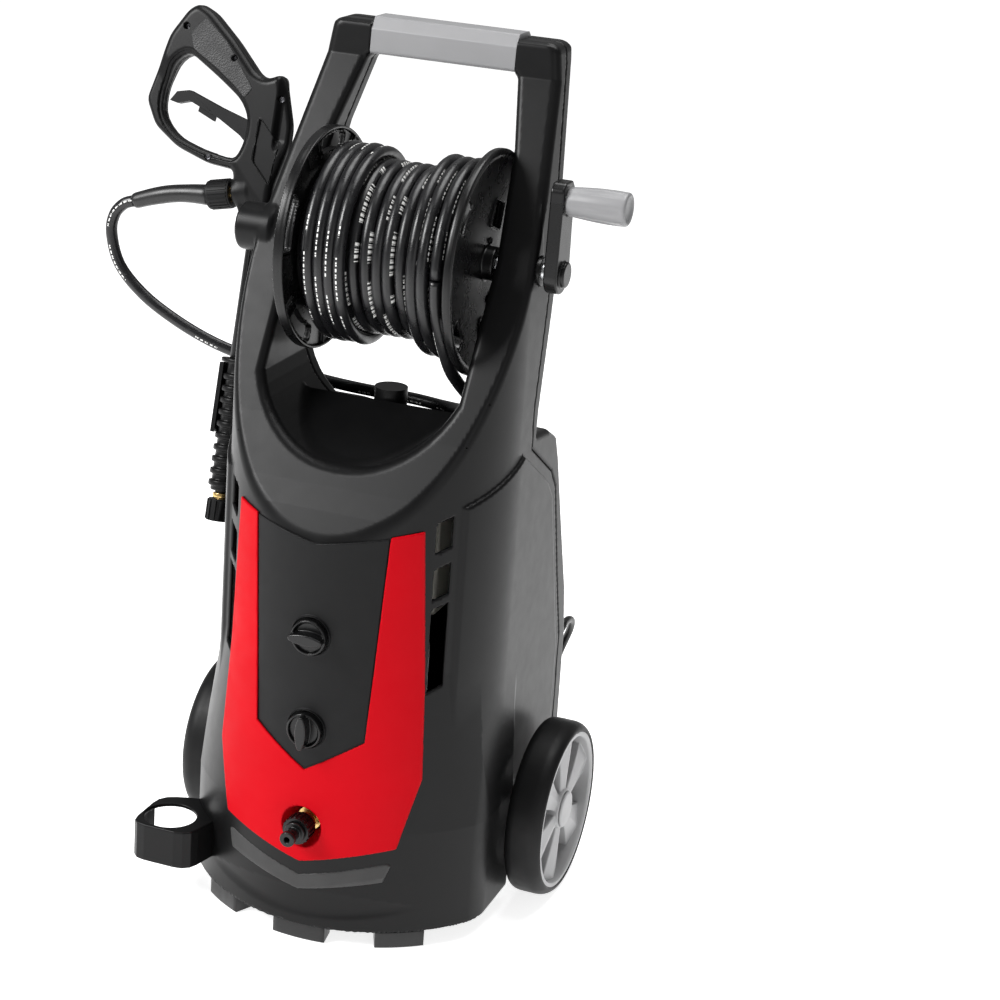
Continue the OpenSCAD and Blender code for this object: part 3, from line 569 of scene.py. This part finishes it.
# ---------------------------------------------------------------- housing
FRONT_PART = [[-60, 0], [-60, 960], [278, 960], [268, 880], [236, 800], [212, 740], [192, 650],
              [176, 545], [180, 505], [250, 462], [268, 440], [300, 330], [326, 250], [332, 100],
              [332, 0]]
UNION_SIDE = [[-60, -40], [-60, 436], [-8, 436], [8, 462], [22, 482], [55, 535], [243, 866],
              [246, 898], [252, 903], [288, 903], [294, 895], [290, 880], [258, 800], [234, 740],
              [214, 650], [196, 545], [194, 516], [235, 511], [262, 497], [275, 470], [305, 389],
              [338, 303], [350, 248], [356, 100], [352, -40]]
SIDE_PANEL = [[58, 60], [58, 474], [150, 506], [232, 456], [250, 436], [284, 326], [308, 246],
              [314, 60]]
LOWER_SIDE = [[-60, -40], [-60, 484], [30, 494], [142, 541], [145, 522], [235, 511], [262, 497],
              [275, 470], [305, 389], [338, 303], [350, 248], [356, 100], [352, -40]]
PLATE = [[0, 194], [58, 231], [70, 447], [0, 434], [-70, 447], [-58, 231]]


def arc(centre, radius, start, end, steps=20):
    return [[centre[0] + radius * math.cos(math.radians(start + (end - start) * i / steps)),
             centre[1] + radius * math.sin(math.radians(start + (end - start) * i / steps))]
            for i in range(steps + 1)]


def arm_outlines():
    side = math.degrees(math.acos(104 / 112))
    opening = arc((0, 612), 112, -180 + side, -side) + [[106, 700], [96, 798]]
    opening += arc((73, 858), 9, 10, 90, 5) + arc((-73, 858), 9, 90, 170, 5)
    opening += [[-96, 798], [-106, 700]]
    outer = [[200, -60], [200, 350], [170, 560]] + arc((109, 889), 14, 8, 90, 5)
    outer += arc((-109, 889), 14, 90, 172, 5) + [[-170, 560], [-200, 350], [-200, -60]]
    return opening, outer


OPENING, OUTER_FRONT = arm_outlines()


def body_plan(x, y, z, scoop=True):
    """Distance to the housing's plan at each height: round in front, flared at the base."""
    upper = np.where(y < PLAN_Y, np.hypot(x, y - PLAN_Y), np.abs(x)) - BODY_R
    base = meet(np.hypot(x, y - 180) - 188, np.abs(x) - 163, 8)
    part = np.clip((z - 130) / 170, 0, 1)
    flare = base + (upper - base) * part
    if scoop:
        s = np.arctan2(x, 180 - y) * 188 / 133
        inside = np.clip(1 - s * s, 0, 1)
        low, high = 27 + 18 * s * s, 62 - 16 * s * s
        q = np.clip((z - low) / np.maximum(high - low, 1), 0, 1)
        flare = flare + 8 * inside * ramp(z, low, low + 13) * (1 - q)
    soft = 6 * (1 - part) + 0.01
    return join(upper, meet(flare, y - 176, soft), soft)


def housing_field(x, y, z):
    """Distance to the housing's outside, and to the hollow within it."""
    plan = body_plan(x, y, z)
    side, front = outline(y, z, UNION_SIDE), outline(x, z, OUTER_FRONT)
    opening, low_side = outline(x, z, OPENING), outline(y, z, LOWER_SIDE)
    field = meet(meet(plan, side, 7), front, 9)
    field = cut(field, meet(opening, -low_side, 5), 8)
    lug = meet(np.hypot(y - REEL_Y, z - REEL_Z) - 25, np.abs(x + 154) - 20, 4)
    field = join(field, lug, 5)
    upper = np.where(y < PLAN_Y, np.hypot(x, y - PLAN_Y), np.abs(x)) - BODY_R
    panel = meet(upper - 4, outline(y, z, SIDE_PANEL), 3)
    panel = np.maximum(panel, 128 - z)
    wall = 6
    kept = np.minimum(-opening, low_side) + wall
    hollow = np.maximum(np.maximum(plan, side), np.maximum(front, kept)) + wall
    return join(field, panel, 2), hollow


def shell_field(x, y, z):
    """The hollow housing with all its openings, before it is parted at the seam."""
    solid, hollow = housing_field(x, y, z)
    shell = np.maximum(solid, -hollow)
    for height, y_end in ((180, 352), (400, 300)):
        boss = np.maximum(np.hypot(np.abs(x) - 139, z - height) - 8, np.abs(y - y_end + 32) - 30)
        shell = np.minimum(shell, np.maximum(boss, solid))
    shell = meet(shell, 18 - z, 1.5)
    angle = math.radians(49)
    across = np.abs(x) * math.cos(angle) + (y - PLAN_Y) * math.sin(angle)
    outward = -np.abs(x) * math.sin(angle) + (y - PLAN_Y) * math.cos(angle)
    sloped = z - 0.35 * across
    for bottom, height in ((285, 88), (383, 32), (432, 31)):
        vent = np.maximum(np.maximum(np.abs(across) - 9, np.abs(outward + 145) - 18),
                          np.abs(sloped - bottom - height / 2) - height / 2)
        shell = cut(shell, vent, 1.5)
    shell = cut(shell, np.hypot(y - AXLE_Y, z - AXLE_Z) - 8, 0.5)
    shell = cut(shell, np.hypot(y - REEL_Y, z - REEL_Z) - 14.3, 0.5)
    for height, radius in ((338, 21.4), (238, 21.4), (130, 27)):
        shell = cut(shell, np.maximum(np.hypot(x, z - height) - radius, y - 20), 0.5)
    shell = cut(shell, np.maximum(np.hypot(x, y - 163) - 14.6, 480 - z), 1)
    shell = cut(shell, np.maximum(np.maximum(np.abs(x) - 78, 200 - y), 860 - z), 1)
    shell = cut(shell, np.maximum(np.hypot(y - 267, z - 885) - 9.3, np.abs(x) - 118), 0.3)
    shell = cut(shell, np.maximum(np.hypot(x - 136, z - 238) - 7.6, 320 - y), 0.5)
    for row in range(9):
        slot = np.maximum(np.abs(z - 123.5 - 16 * row) - 3.6, np.abs(np.abs(x) - 45) - 32)
        shell = cut(shell, np.maximum(slot, 300 - y), 1)
    return shell


def housing():
    low, high, step = (-184, -24, 8), (170, 372, 914), 2.5
    x, y, z = grid(low, high, step)
    shell, seam = shell_field(x, y, z), outline(y, z, FRONT_PART)
    for name, node, side in (("front_moulding", "front_shell", 1),
                             ("rear_moulding", "rear_shell", -1)):
        def shape(x, y, z, side=side):
            return meet(shell_field(x, y, z), 0.5 + side * outline(y, z, FRONT_PART), 1.5)
        skin(name, shape, low, high, step, "frame", "black_plastic", [node],
             field=meet(shell, 0.5 + side * seam, 1.5))


def red_shape(x, y, z):
    plan = body_plan(x, y, z, False)
    edge = outline(x, z, [[0, 91], [94, 115], [111, 190], [98, 454], [70, 448], [-70, 448],
                          [-98, 454], [-111, 190], [-94, 115]])
    inner = outline(x, z, [[0, 194], [58, 231], [71.3, 470], [-71.3, 470], [-58, 231]]) - 0.8
    face = np.maximum(edge, -inner)
    band = meet(meet(plan - 2.6, -(plan + 1.2), 0.6), face, 1.4)
    reach = np.hypot(x, z - 130)
    cone = reach - (13.5 + (14 - y) * 0.347)
    funnel = meet(cone - 2.8, y - 14, 1)
    band = join(band, np.maximum(np.maximum(funnel, plan - 2.4), reach - 26.8), 1)
    band = cut(band, np.maximum(cone, y - 30), 1)
    return cut(band, reach - 13.5, 0.5)


def red_surround():
    skin("red_surround", red_shape, (-118, -26, 84), (118, 66, 462), 1.6, "frame", "red_plastic",
         ["red_panel"])


def plate_shape(x, y, z):
    radius = np.hypot(x, y - PLAN_Y)
    plate = meet(meet(radius - 151.5, 148.9 - radius, 0.4), outline(x, z, PLATE), 1.0)
    for height in (338, 238):
        reach = np.hypot(x, z - height)
        plate = join(plate, meet(reach - 21, np.abs(y + 7.6) - 4.5, 1.2), 1.5)
        plate = cut(plate, np.maximum(reach - 19.7, y + 9.6), 0.4)
        plate = cut(plate, reach - 6, 0.3)
    return plate


def control_plate():
    skin("control_plate", plate_shape, (-76, -15, 188), (76, 26, 452), 1.3, "frame",
         "dark_plastic", ["control_panel"])


def strip_shape(x, y, z):
    plan = body_plan(x, y, z, False)
    top = 76 + 22 * np.abs(x) / 86
    proud = 0.8 + np.clip(top - z, 0, 14) * 0.2
    face = outline(x, z, [[0, 60], [84, 78], [90, 96], [86, 98], [0, 76], [-86, 98], [-90, 96],
                          [-84, 78]])
    return meet(meet(plan - proud, -(plan + 1.5), 0.5), face, 1.4)


def lower_strip():
    skin("lower_strip", strip_shape, (-96, -20, 52), (96, 44, 106), 1.4, "frame", "dark_plastic",
         ["bumper_strip"], STRIP)


def ring_shape(x, y, z):
    """Thin holed plate for a spare lance, with a skirt round its front and left."""
    outer = outline(x, y, rounded_outline([[-196, -6], [-196, 62], [-150, 80], [-114, 62],
                                           [-128, -6]], 17))
    inner = outline(x, y, rounded_outline([[-192.5, -2.5], [-192.5, 60], [-122, 60],
                                           [-132, -2.5]], 13))
    wall = meet(outer, np.abs(z - 65) - 21, 2.0)
    wall = cut(wall, np.hypot(x + 165, y - 26) - 27.3, 1.2)
    wall = cut(wall, np.maximum(np.minimum(inner, 44 - y), z - 82), 0.8)
    return np.maximum(wall, -(body_plan(x, y, z, False) + 1.5))


def lance_holder():
    skin("lance_holder", ring_shape, (-200, -11, 40), (-112, 84, 90), 1.2, "frame",
         "black_plastic", ["lance_ring"])


housing()
red_surround()
control_plate()
lower_strip()
lance_holder()


# ---------------------------------------------------------------- knobs
def knob_shape(u, v, w):
    reach = np.hypot(u, v)
    disc = meet(reach - 18.4, np.maximum(w - 8, -w), 1.4)
    hollow = meet(reach - 15.9, 4.5 - w, 2)
    bar = meet(np.abs(v) - (2.2 + 3.6 * np.clip(1 - (u / 18) ** 2, 0, 1)), reach - 18, 1.5)
    bar = meet(bar, np.abs(w - 8) - 8.6, 1.6)
    stem = np.maximum(reach - 5.75, np.abs(w) - 8)
    return np.minimum(join(cut(disc, hollow, 1.2), bar, 1.0), stem)


def knobs():
    for name, turned, height in (("upper_knob", False, 338), ("lower_knob", True, 238)):
        def place(p, turned=turned, height=height):
            a, b = (p[:, 1], -p[:, 0]) if turned else (p[:, 0], p[:, 1])
            return np.stack([a, -9.9 - p[:, 2], height + b], 1)
        skin(name + "_cap", knob_shape, (-20.4, -20.4, -9), (20.4, 20.4, 18.5), 0.8, name,
             "gloss_black", [name], place=place)


knobs()


# ---------------------------------------------------------------- wheels
def tyre_mesh():
    profile = [[4, 83], [2.2, 86.5], [1.2, 90], [3.5, 93.2], [8, 94.7], [14, 95], [22, 95],
               [29, 94.8], [34.5, 93.3], [38.6, 90.6], [40.6, 87.4], [39.2, 84.6], [38, 83]]
    inner = [[36, 82.9], [26, 83.1], [16, 83.1], [6, 82.9]]
    fine = smooth_path([(a, r, 0) for a, r in profile], 4)[:, :2].tolist() + inner
    verts, faces = lathe(fine + fine[:1], 120)
    last = len(fine) * 120
    faces = np.where(faces >= last, faces - last, faces)
    return verts[:last], faces


def rim_shape(w, a, b):
    radius = np.hypot(a, b)
    turn = np.arctan2(a, b) - math.radians(8)
    sector = (turn + math.pi / 6) % (math.pi / 3) - math.pi / 6
    side = np.abs(radius * np.sin(sector))
    ring = meet(meet(radius - 82.9, 79.6 - radius, 1.2), np.abs(w - 22.5) - 16, 1.2)
    lip = meet(meet(radius - 85.4, 80.5 - radius, 1.2), np.abs(w - 38.2) - 1.6, 1.2)
    crown = 34.5 - 0.22 * side
    width = 8.5 + 16 * np.clip((radius - 20) / 60, 0, 1) ** 1.3
    spoke = meet(meet(side - width, w - crown, 1.0), np.maximum(radius - 81, 20 - w), 0.6)
    spoke = np.maximum(spoke, -meet(side - width + 2.4, w - crown + 2.6, 0.5))
    hub = meet(radius - 22, np.abs(w - 21.5) - 15, 1.8)
    rim = join(join(join(ring, spoke, 0.8), lip, 0.8), hub, 1.6)
    return cut(rim, radius - 6.3, 0.2)


def wheels():
    low, high, step = (1, -88, -88), (42, 88, 88), 1.25
    verts, faces = net(rim_shape(*grid(low, high, step)), low, step)
    verts, normals = settle(verts, rim_shape, step)
    tyre_verts, tyre_faces = tyre_mesh()
    cap_profile = [[33.5, 0], [33.5, 11], [36.8, 11], [36.8, 19.5], [38.4, 20], [39.6, 18],
                   [39.6, 0]]
    cap = lathe(rounded_profile(cap_profile, 0.8), 48)
    for side, name in ((1, "right"), (-1, "left")):
        def placed(v):
            return np.stack([side * (168 + v[:, 0]), AXLE_Y + v[:, 1], AXLE_Z + v[:, 2]], 1) * MM
        order = slice(None, None, side)
        rim = finish_piece(name + "_wheel_rim", placed(verts), faces[:, order], name + "_wheel",
                           "grey_plastic", ["rim_" + name], RIM_GREY)
        rim.data.normals_split_custom_set_from_vertices((normals * [side, 1, 1]).tolist())
        finish_piece(name + "_wheel_tyre", placed(tyre_verts), tyre_faces[:, ::-side],
                     name + "_wheel", "tyre", ["tyre_" + name])
        finish_piece(name + "_wheel_cap", placed(cap[0]), cap[1][:, ::-side], name + "_wheel",
                     "grey_plastic", ["hub_cap_" + name], RIM_GREY)


wheels()


# ---------------------------------------------------------------- hose reel
def left_flange(w, a, b):
    """Deep ring flange with ribs and windows on the side of the hose."""
    radius = np.hypot(a, b)
    turn = np.arctan2(b, a)
    disc = meet(np.abs(w + 1) - 1.5, radius - 112, 0.5)
    lip = meet(meet(radius - 113, 110 - radius, 1.2), np.abs(w + 0.4) - 5.4, 1.2)
    field = join(disc, lip, 1.5)
    sector = (turn + math.pi / 12) % (math.pi / 6) - math.pi / 12
    rib = np.maximum(np.maximum(np.abs(radius * np.sin(sector)) - 1.1, np.abs(w - 0.8) - 3.4),
                     np.maximum(88 - radius, radius - 111))
    field = join(field, rib, 0.8)
    wide = 2 * math.pi / 5
    window = (turn - 0.31 + wide / 2) % wide - wide / 2
    arch = meet(np.abs(radius - 99) - 7.5, np.abs(window) * 96 - 26, 4)
    field = cut(field, arch, 0.6)
    wall = meet(meet(arch - 2.2, -arch, 0.5), np.abs(w - 0.8) - 3.4, 0.6)
    return cut(join(field, wall, 0.6), radius - 8.2, 0.3)


def right_flange(w, a, b):
    """Dished flange with a thick rounded lip, and pockets and windows in its face."""
    radius = np.hypot(a, b)
    turn = np.arctan2(b, a)
    face = 2.0 - 4.5 * np.clip(1 - radius / 100, 0, 1) ** 1.5
    disc = meet(np.abs(w - face) - 1.6, radius - 111, 0.5)
    lip = meet(meet(radius - 113, 107 - radius, 2.2), np.abs(w - 1.2) - 4.2, 2.2)
    field = join(disc, lip, 4)
    field = join(field, meet(radius - 17, np.abs(w - 4.2) - 7.6, 1.2), 2)
    for angle, low_r, high_r, half in ((70, 36, 62, 12), (-62, 38, 66, 12), (-96, 56, 84, 8)):
        t = math.radians(angle)
        u, v = a * math.cos(t) + b * math.sin(t), -a * math.sin(t) + b * math.cos(t)
        pocket = meet(np.abs(u - (low_r + high_r) / 2) - (high_r - low_r) / 2, np.abs(v) - half, 2)
        field = join(field, meet(meet(pocket - 2, -pocket, 0.5), np.abs(w + 0.4) - 4, 0.5), 0.5)
        field = cut(field, np.maximum(pocket, -2.2 - w), 0.6)
        field = join(field, meet(pocket, np.abs(w + 3.6) - 0.9, 0.3), 0.3)
    for angle in (38, -38, 142, -142):
        t = math.radians(angle)
        u, v = a * math.cos(t) + b * math.sin(t), -a * math.sin(t) + b * math.cos(t)
        window = meet(np.abs(radius - 96) - 8, np.abs(v) - 17, 5)
        field = cut(field, np.maximum(window, -u), 0.8)
    screw = meet(np.hypot(a - 6, b - 21) - 3, np.abs(w - 0.5) - 2.5, 0.8)
    return cut(join(field, screw, 0.3), radius - 8.2, 0.3)


def flange(name, shape, node, centre):
    skin(name, shape, (-9, -115, -115), (13.5, 115, 115), 1.5, "reel", "gloss_black", [node],
         place=lambda p: p + np.array([centre, REEL_Y, REEL_Z]))


def winding():
    """Turns of hose on the drum: a full layer, and a second one at both ends."""
    groups = [(-71.6, 77, 81.7, 0.4, 12), (-66, -22, 93.9, -0.6, 4), (75, 41, 94.6, math.pi, -2.6)]
    for number, (first, last, radius, start, turns) in enumerate(groups):
        path = []
        total = round(abs(turns) * 60)
        for i in range(total + 1):
            angle = start + 2 * math.pi * turns * i / total
            settled = ramp(i, 0, 40)
            slip = 0.9 * math.sin(1.3 * angle + number) + 0.7 * math.sin(0.37 * angle)
            r = radius
            if number:
                r += 0.8 * settled * math.sin(0.53 * angle + number)
                r -= 12 * ramp(i, total - 12, total)
            if number == 1:
                r -= 12 * (1 - ramp(i, 0, 12))
            x = first + (last - first) * i / total + slip * settled * (0.6 if number == 0 else 1)
            path.append((x, REEL_Y + r * math.cos(angle), REEL_Z + r * math.sin(angle)))
        verts, faces, along, around = sweep(path, HOSE_D / 2 - 0.1, 16, 0.9 + number)
        finish_piece(f"wound_hose_{number + 1}", verts * MM, faces, "reel", "rubber",
                     ["hose_winding"], HOSE,
                     values={"along": along + 90 * number, "around": around})


flange("left_flange", left_flange, "reel_flange_left", -83)
flange("right_flange", right_flange, "reel_flange_right", 91)
winding()


# ---------------------------------------------------------------- crank
def crank_shape(x, y, z):
    part = np.clip((z - REEL_Z) / 73, 0, 1)
    across = np.abs(y - REEL_Y)
    bar = np.maximum(across - (20 - 3 * part), np.abs(z - 728) - 56)
    bar = meet(bar, np.hypot(y - REEL_Y, np.minimum(z - REEL_Z, 0)) - 20, 1)
    bar = meet(bar, (across + z - 782 - 12) * 0.7071, 2)
    arm = meet(bar, np.abs(x - 164) - 7, 1.8)
    arm = cut(arm, meet(np.hypot(y - REEL_Y, z - 765) - 14, 169.5 - x, 1.5), 1.5)
    boss = meet(np.hypot(y - REEL_Y, z - REEL_Z) - 13, np.abs(x - 166.5) - 9.5, 2)
    arm = join(arm, boss, 1.5)
    shaft = np.maximum(np.hypot(y - REEL_Y, z - REEL_Z) - 8.2, y - REEL_Y - 5.7)
    arm = cut(arm, np.maximum(shaft, x - 174.2), 0.2)
    return cut(arm, np.hypot(y - REEL_Y, z - 765) - 5.1, 0.2)


def crank():
    skin("crank_bar", crank_shape, (154, 144, 668), (180, 190, 786), 1.0, "reel", "gloss_black",
         ["crank_arm"])
    profile = [[1, 5.2], [1, 13.4], [3, 14.2], [14, 15.4], [30, 16.6], [46, 17], [56, 16.8],
               [60, 16.4], [61.6, 14.6], [61, 12.6], [59.5, 11.8], [59.5, 0]]

    def flutes(a, r, t):
        depth = np.clip(1 - ((a - 31) / 26) ** 2, 0, 1)
        lens = np.clip(np.cos(6 * t), 0, 1) ** 1.5
        return -1.5 * math.sqrt(depth) * lens if 5 < a < 57 else 0 * t

    fine = smooth_path([(a, r, 0) for a, r in profile[1:9]], 5)[:, :2].tolist()
    verts, faces = lathe([profile[0]] + fine + profile[9:], 96, flutes)
    verts = verts + np.array([171, REEL_Y, REEL_Z + 73])
    finish_piece("crank_handle", verts * MM, faces[:, ::-1], "crank_grip", "grey_plastic",
                 ["crank_grip"])


crank()


# ---------------------------------------------------------------- spray gun
GUN_AT = np.array([-180, 219, 681])
LEAN = math.radians(14)
GUN_Z = np.array([0, math.sin(LEAN), math.cos(LEAN)])
GUN_Y = np.array([0, math.cos(LEAN), -math.sin(LEAN)])
GUN_OUTLINE = [[-100, 217], [-84, 210], [-54, 184], [-24, 153], [-12, 149], [2, 155], [7, 150],
               [21, 104], [21, 72], [12, 40], [12, -12], [-12, -12], [-26, 12], [-34, 30],
               [-36, 52], [-68, 55], [-105, 67], [-133, 86], [-147, 112], [-137, 150],
               [-129, 182], [-111, 210]]
GUN_LOOP = [[-104, 166], [-64, 142], [-38, 124], [-28, 108], [-27, 92], [-30, 76], [-36, 63],
            [-70, 66], [-108, 78], [-127, 98], [-128, 122], [-119, 154]]


def gun_place(p):
    return GUN_AT + p[:, :1] * np.array([1, 0, 0]) + p[:, 1:2] * GUN_Y + p[:, 2:] * GUN_Z


GUN_OUTER = rounded_outline(GUN_OUTLINE, 7)
GUN_INNER = rounded_outline(GUN_LOOP, 16)
GUN_PLATE = rounded_outline([[-11, 108], [12, 84], [8, 42], [-13, 64]], 3)
GUN_PAD = rounded_outline([[-103, 186], [-88, 203], [-60, 181], [-24, 137], [-32, 126], [-46, 138],
                           [-70, 154], [-97, 169]], 3)
GUN_SCREWS = ((-109, 192), (-50, 165), (8, 130), (-66, 61))
GUN_SLOT = [[-60, 62], [-22, 60], [-8, 74], [-8, 112], [-22, 118], [-60, 120]]


def gun_shape(x, y, z):
    flat = np.maximum(outline(x, z, GUN_OUTER), -outline(x, z, GUN_INNER))
    beyond = ((x + 30) * -100 + (z - 60) * -95) / 138
    guard = ramp(beyond, 0, 24)
    fin = ramp(x, 3, 10) * ramp(z, 70, 90)
    half = 14 - 4.5 * guard - 7 * fin
    solid = meet(flat, np.abs(y) - half, 8 - 3 * guard - 3.5 * fin)
    solid = join(solid, meet(flat - 0.3, np.abs(y) - 2.2, 1.0), 1.5)
    step = meet(outline(x, z, GUN_INNER) - 4.2, half - 2.2 - np.abs(y), 1.0)
    solid = cut(solid, step, 1.0)
    plate = outline(x, z, GUN_PLATE)
    solid = join(solid, meet(np.abs(plate) - 1.1, np.abs(y) - half - 0.8, 0.5), 0.4)
    solid = cut(solid, np.maximum(plate, 12.4 - np.abs(y)), 0.8)
    for sx, sz in GUN_SCREWS:
        solid = cut(solid, np.maximum(np.hypot(x - sx, z - sz) - 3.6, 7.5 - np.abs(y)), 0.6)
    collar = meet(np.hypot(x, y) - 15.5, np.abs(z + 2) - 11, 3)
    solid = join(solid, collar, 6)
    deep = (x + 30) * -0.978 + (z - 29) * -0.208
    high = (x + 30) * 0.208 + (z - 29) * -0.978
    solid = join(solid, meet(np.hypot(high, y) - 12.6, np.abs(deep + 5) - 9, 2), 5)
    solid = cut(solid, np.maximum(np.hypot(x, y) - 9.2, z - 70), 0.3)
    solid = cut(solid, np.maximum(np.hypot(high, y) - 9.2, np.abs(deep) - 30), 0.3)
    return cut(solid, np.maximum(outline(x, z, GUN_SLOT), np.abs(y) - 5.8), 0.3)


def pad_shape(x, y, z):
    solid = gun_shape(x, y, z)
    pad = meet(np.maximum(solid - 0.6, -(solid + 1.2)), outline(x, z, GUN_PAD), 0.5)
    return np.maximum(pad, 6.5 - np.abs(y))


def gun():
    low, high, step = (-151, -16.5, -15), (26, 16.5, 221), 1.3
    for name, node, side in (("gun_near_half", "gun_left_half", 1),
                             ("gun_far_half", "gun_right_half", -1)):
        def shape(x, y, z, side=side):
            return meet(gun_shape(x, y, z), 0.2 + side * y, 0.5)
        skin(name, shape, low, high, step, "gun", "black_plastic", [node], place=gun_place)
    skin("gun_grip_pad", pad_shape, low, high, step, "gun", "dark_plastic", material=GRAINED,
         place=gun_place)
    screws = []
    for sx, sz in GUN_SCREWS:
        v, f = lathe(rounded_profile([[-9.2, 0], [-9.2, 0.8], [-8.4, 0.9], [-8.4, 1.6], [-9.0, 2.8],
                                      [-7.8, 3.2], [-7.2, 1.5], [9, 1.5], [9, 0]], 0.3, 2), 20)
        screws.append((gun_place(np.stack([v[:, 1] + sx, v[:, 0], v[:, 2] + sz], 1)), f[:, ::-1]))
    v, f = merged(screws)
    finish_piece("gun_body_screws", v * MM, f, "gun", "steel", ["gun_screws"], DARK_STEEL)


def sleeve():
    axis = np.array([-0.978, -0.050, -0.202])
    start = np.array([-210, 226.0, 709.1]) + 33 * axis
    points = [start + axis * t + np.array([0, 0, -1.0]) * 4.5 * (math.sin(t / 87 * math.pi))
              * -1 for t in (0, 22, 44, 66, 87)]
    path = smooth_path(points, 6)
    t = np.linspace(0, 1, len(path))
    radius = 10.6 - 2.2 * t + 0.5 * np.cos(t * 9) * (1 - t)
    radius[0] -= 0.8
    radius[-1] -= 0.6
    verts, faces, _, _ = sweep(path, radius, 24)
    finish_piece("bend_sleeve", verts * MM, faces, "gun", "rubber", ["hose_sleeve"])


gun()
sleeve()


# ---------------------------------------------------------------- kept CAD solids
def dress_nodes():
    """Moulded edges and materials for the CAD solids that keep their own shape."""
    soft = {"feet": 1.2, "lance_clip": 1.6, "handle_grip": 2.5, "detergent_cap": 2.4,
            "detergent_tank": 4.0, "pump_body": 2.0, "trigger": 1.4, "safety_latch": 0.6,
            "hose_nut": 0.7, "nozzle_nut": 0.6, "inlet_nut": 0.6, "inlet_nipple": 1.2,
            "lance_sleeve": 1.4, "lance_barrel": 0.8, "motor_stator": 1.0, "chassis": 0.8,
            "reel_shaft": 0.8, "inlet_fitting": 0.5, "axle_clips": 0.3,
            "crank_pin": 0.6, "lance_nozzle": 0.5, "reel_bushes": 0.6, "reel_drum": 0.5,
            "motor_fan": 0.4, "gun_valve": 0.5, "shell_screws": 0.5}
    for part in frame["record"]["subparts"]:
        node = frame["nodes"][part["node"]]
        material = MATERIALS[part["material_slot"]]
        if part["node"] == "reel_bushes":
            material = MATERIALS["gloss_black"]
        node.data.materials.clear()
        node.data.materials.append(material)
        if part["node"] in soft:
            weld = node.modifiers.new("weld", "WELD")
            weld.merge_threshold = 0.00001
            bevel = node.modifiers.new("edges", "BEVEL")
            bevel.width = soft[part["node"]] * MM
            bevel.segments = 3
            bevel.limit_method = "ANGLE"
            bevel.angle_limit = math.radians(38)
            bevel.harden_normals = True


dress_nodes()


# ---------------------------------------------------------------- floor and light
def area_light(name, place, target, size, power, size_y=None):
    data = bpy.data.lights.new(name, "AREA")
    data.energy = power
    data.size = size
    if size_y:
        data.shape = "RECTANGLE"
        data.size_y = size_y
    lamp = bpy.data.objects.new(name, data)
    lamp.location = place
    lamp.rotation_mode = "QUATERNION"
    lamp.rotation_quaternion = (Vector(place) - Vector(target)).to_track_quat("Z", "Y")
    bpy.context.collection.objects.link(lamp)


def studio():
    bpy.context.scene.view_settings.view_transform = "Standard"
    world = bpy.data.worlds.new("studio")
    bpy.context.scene.world = world
    world.use_nodes = True
    background = world.node_tree.nodes["Background"]
    background.inputs[0].default_value = (1, 1, 1, 1)
    background.inputs[1].default_value = 0.25
    area_light("key", (-1.9, -1.6, 2.3), (0, 0.15, 0.5), 1.3, 125)
    area_light("side", (2.0, -1.8, 1.2), (0, 0.15, 0.5), 1.2, 5)
    area_light("top", (0.2, 0.6, 2.8), (0, 0.2, 0.5), 1.6, 50)
    mesh = bpy.data.meshes.new("floor")
    size = 30
    mesh.from_pydata([(-size, -size, -0.0006), (size, -size, -0.0006), (size, size, -0.0006),
                      (-size, size, -0.0006)], [], [(0, 1, 2, 3)])
    floor = bpy.data.objects.new("floor", mesh)
    bpy.context.collection.objects.link(floor)
    n = Nodes("floor")
    n.link(n.mix(n.noise(3, 2), (0.92, 0.92, 0.92), (0.95, 0.95, 0.95)),
           n.shader.inputs["Base Color"])
    n.shader.inputs["Roughness"].default_value = 0.9
    n.shader.inputs["Emission Color"].default_value = (1, 1, 1, 1)
    n.shader.inputs["Emission Strength"].default_value = 0.8
    mesh.materials.append(n.material)


studio()
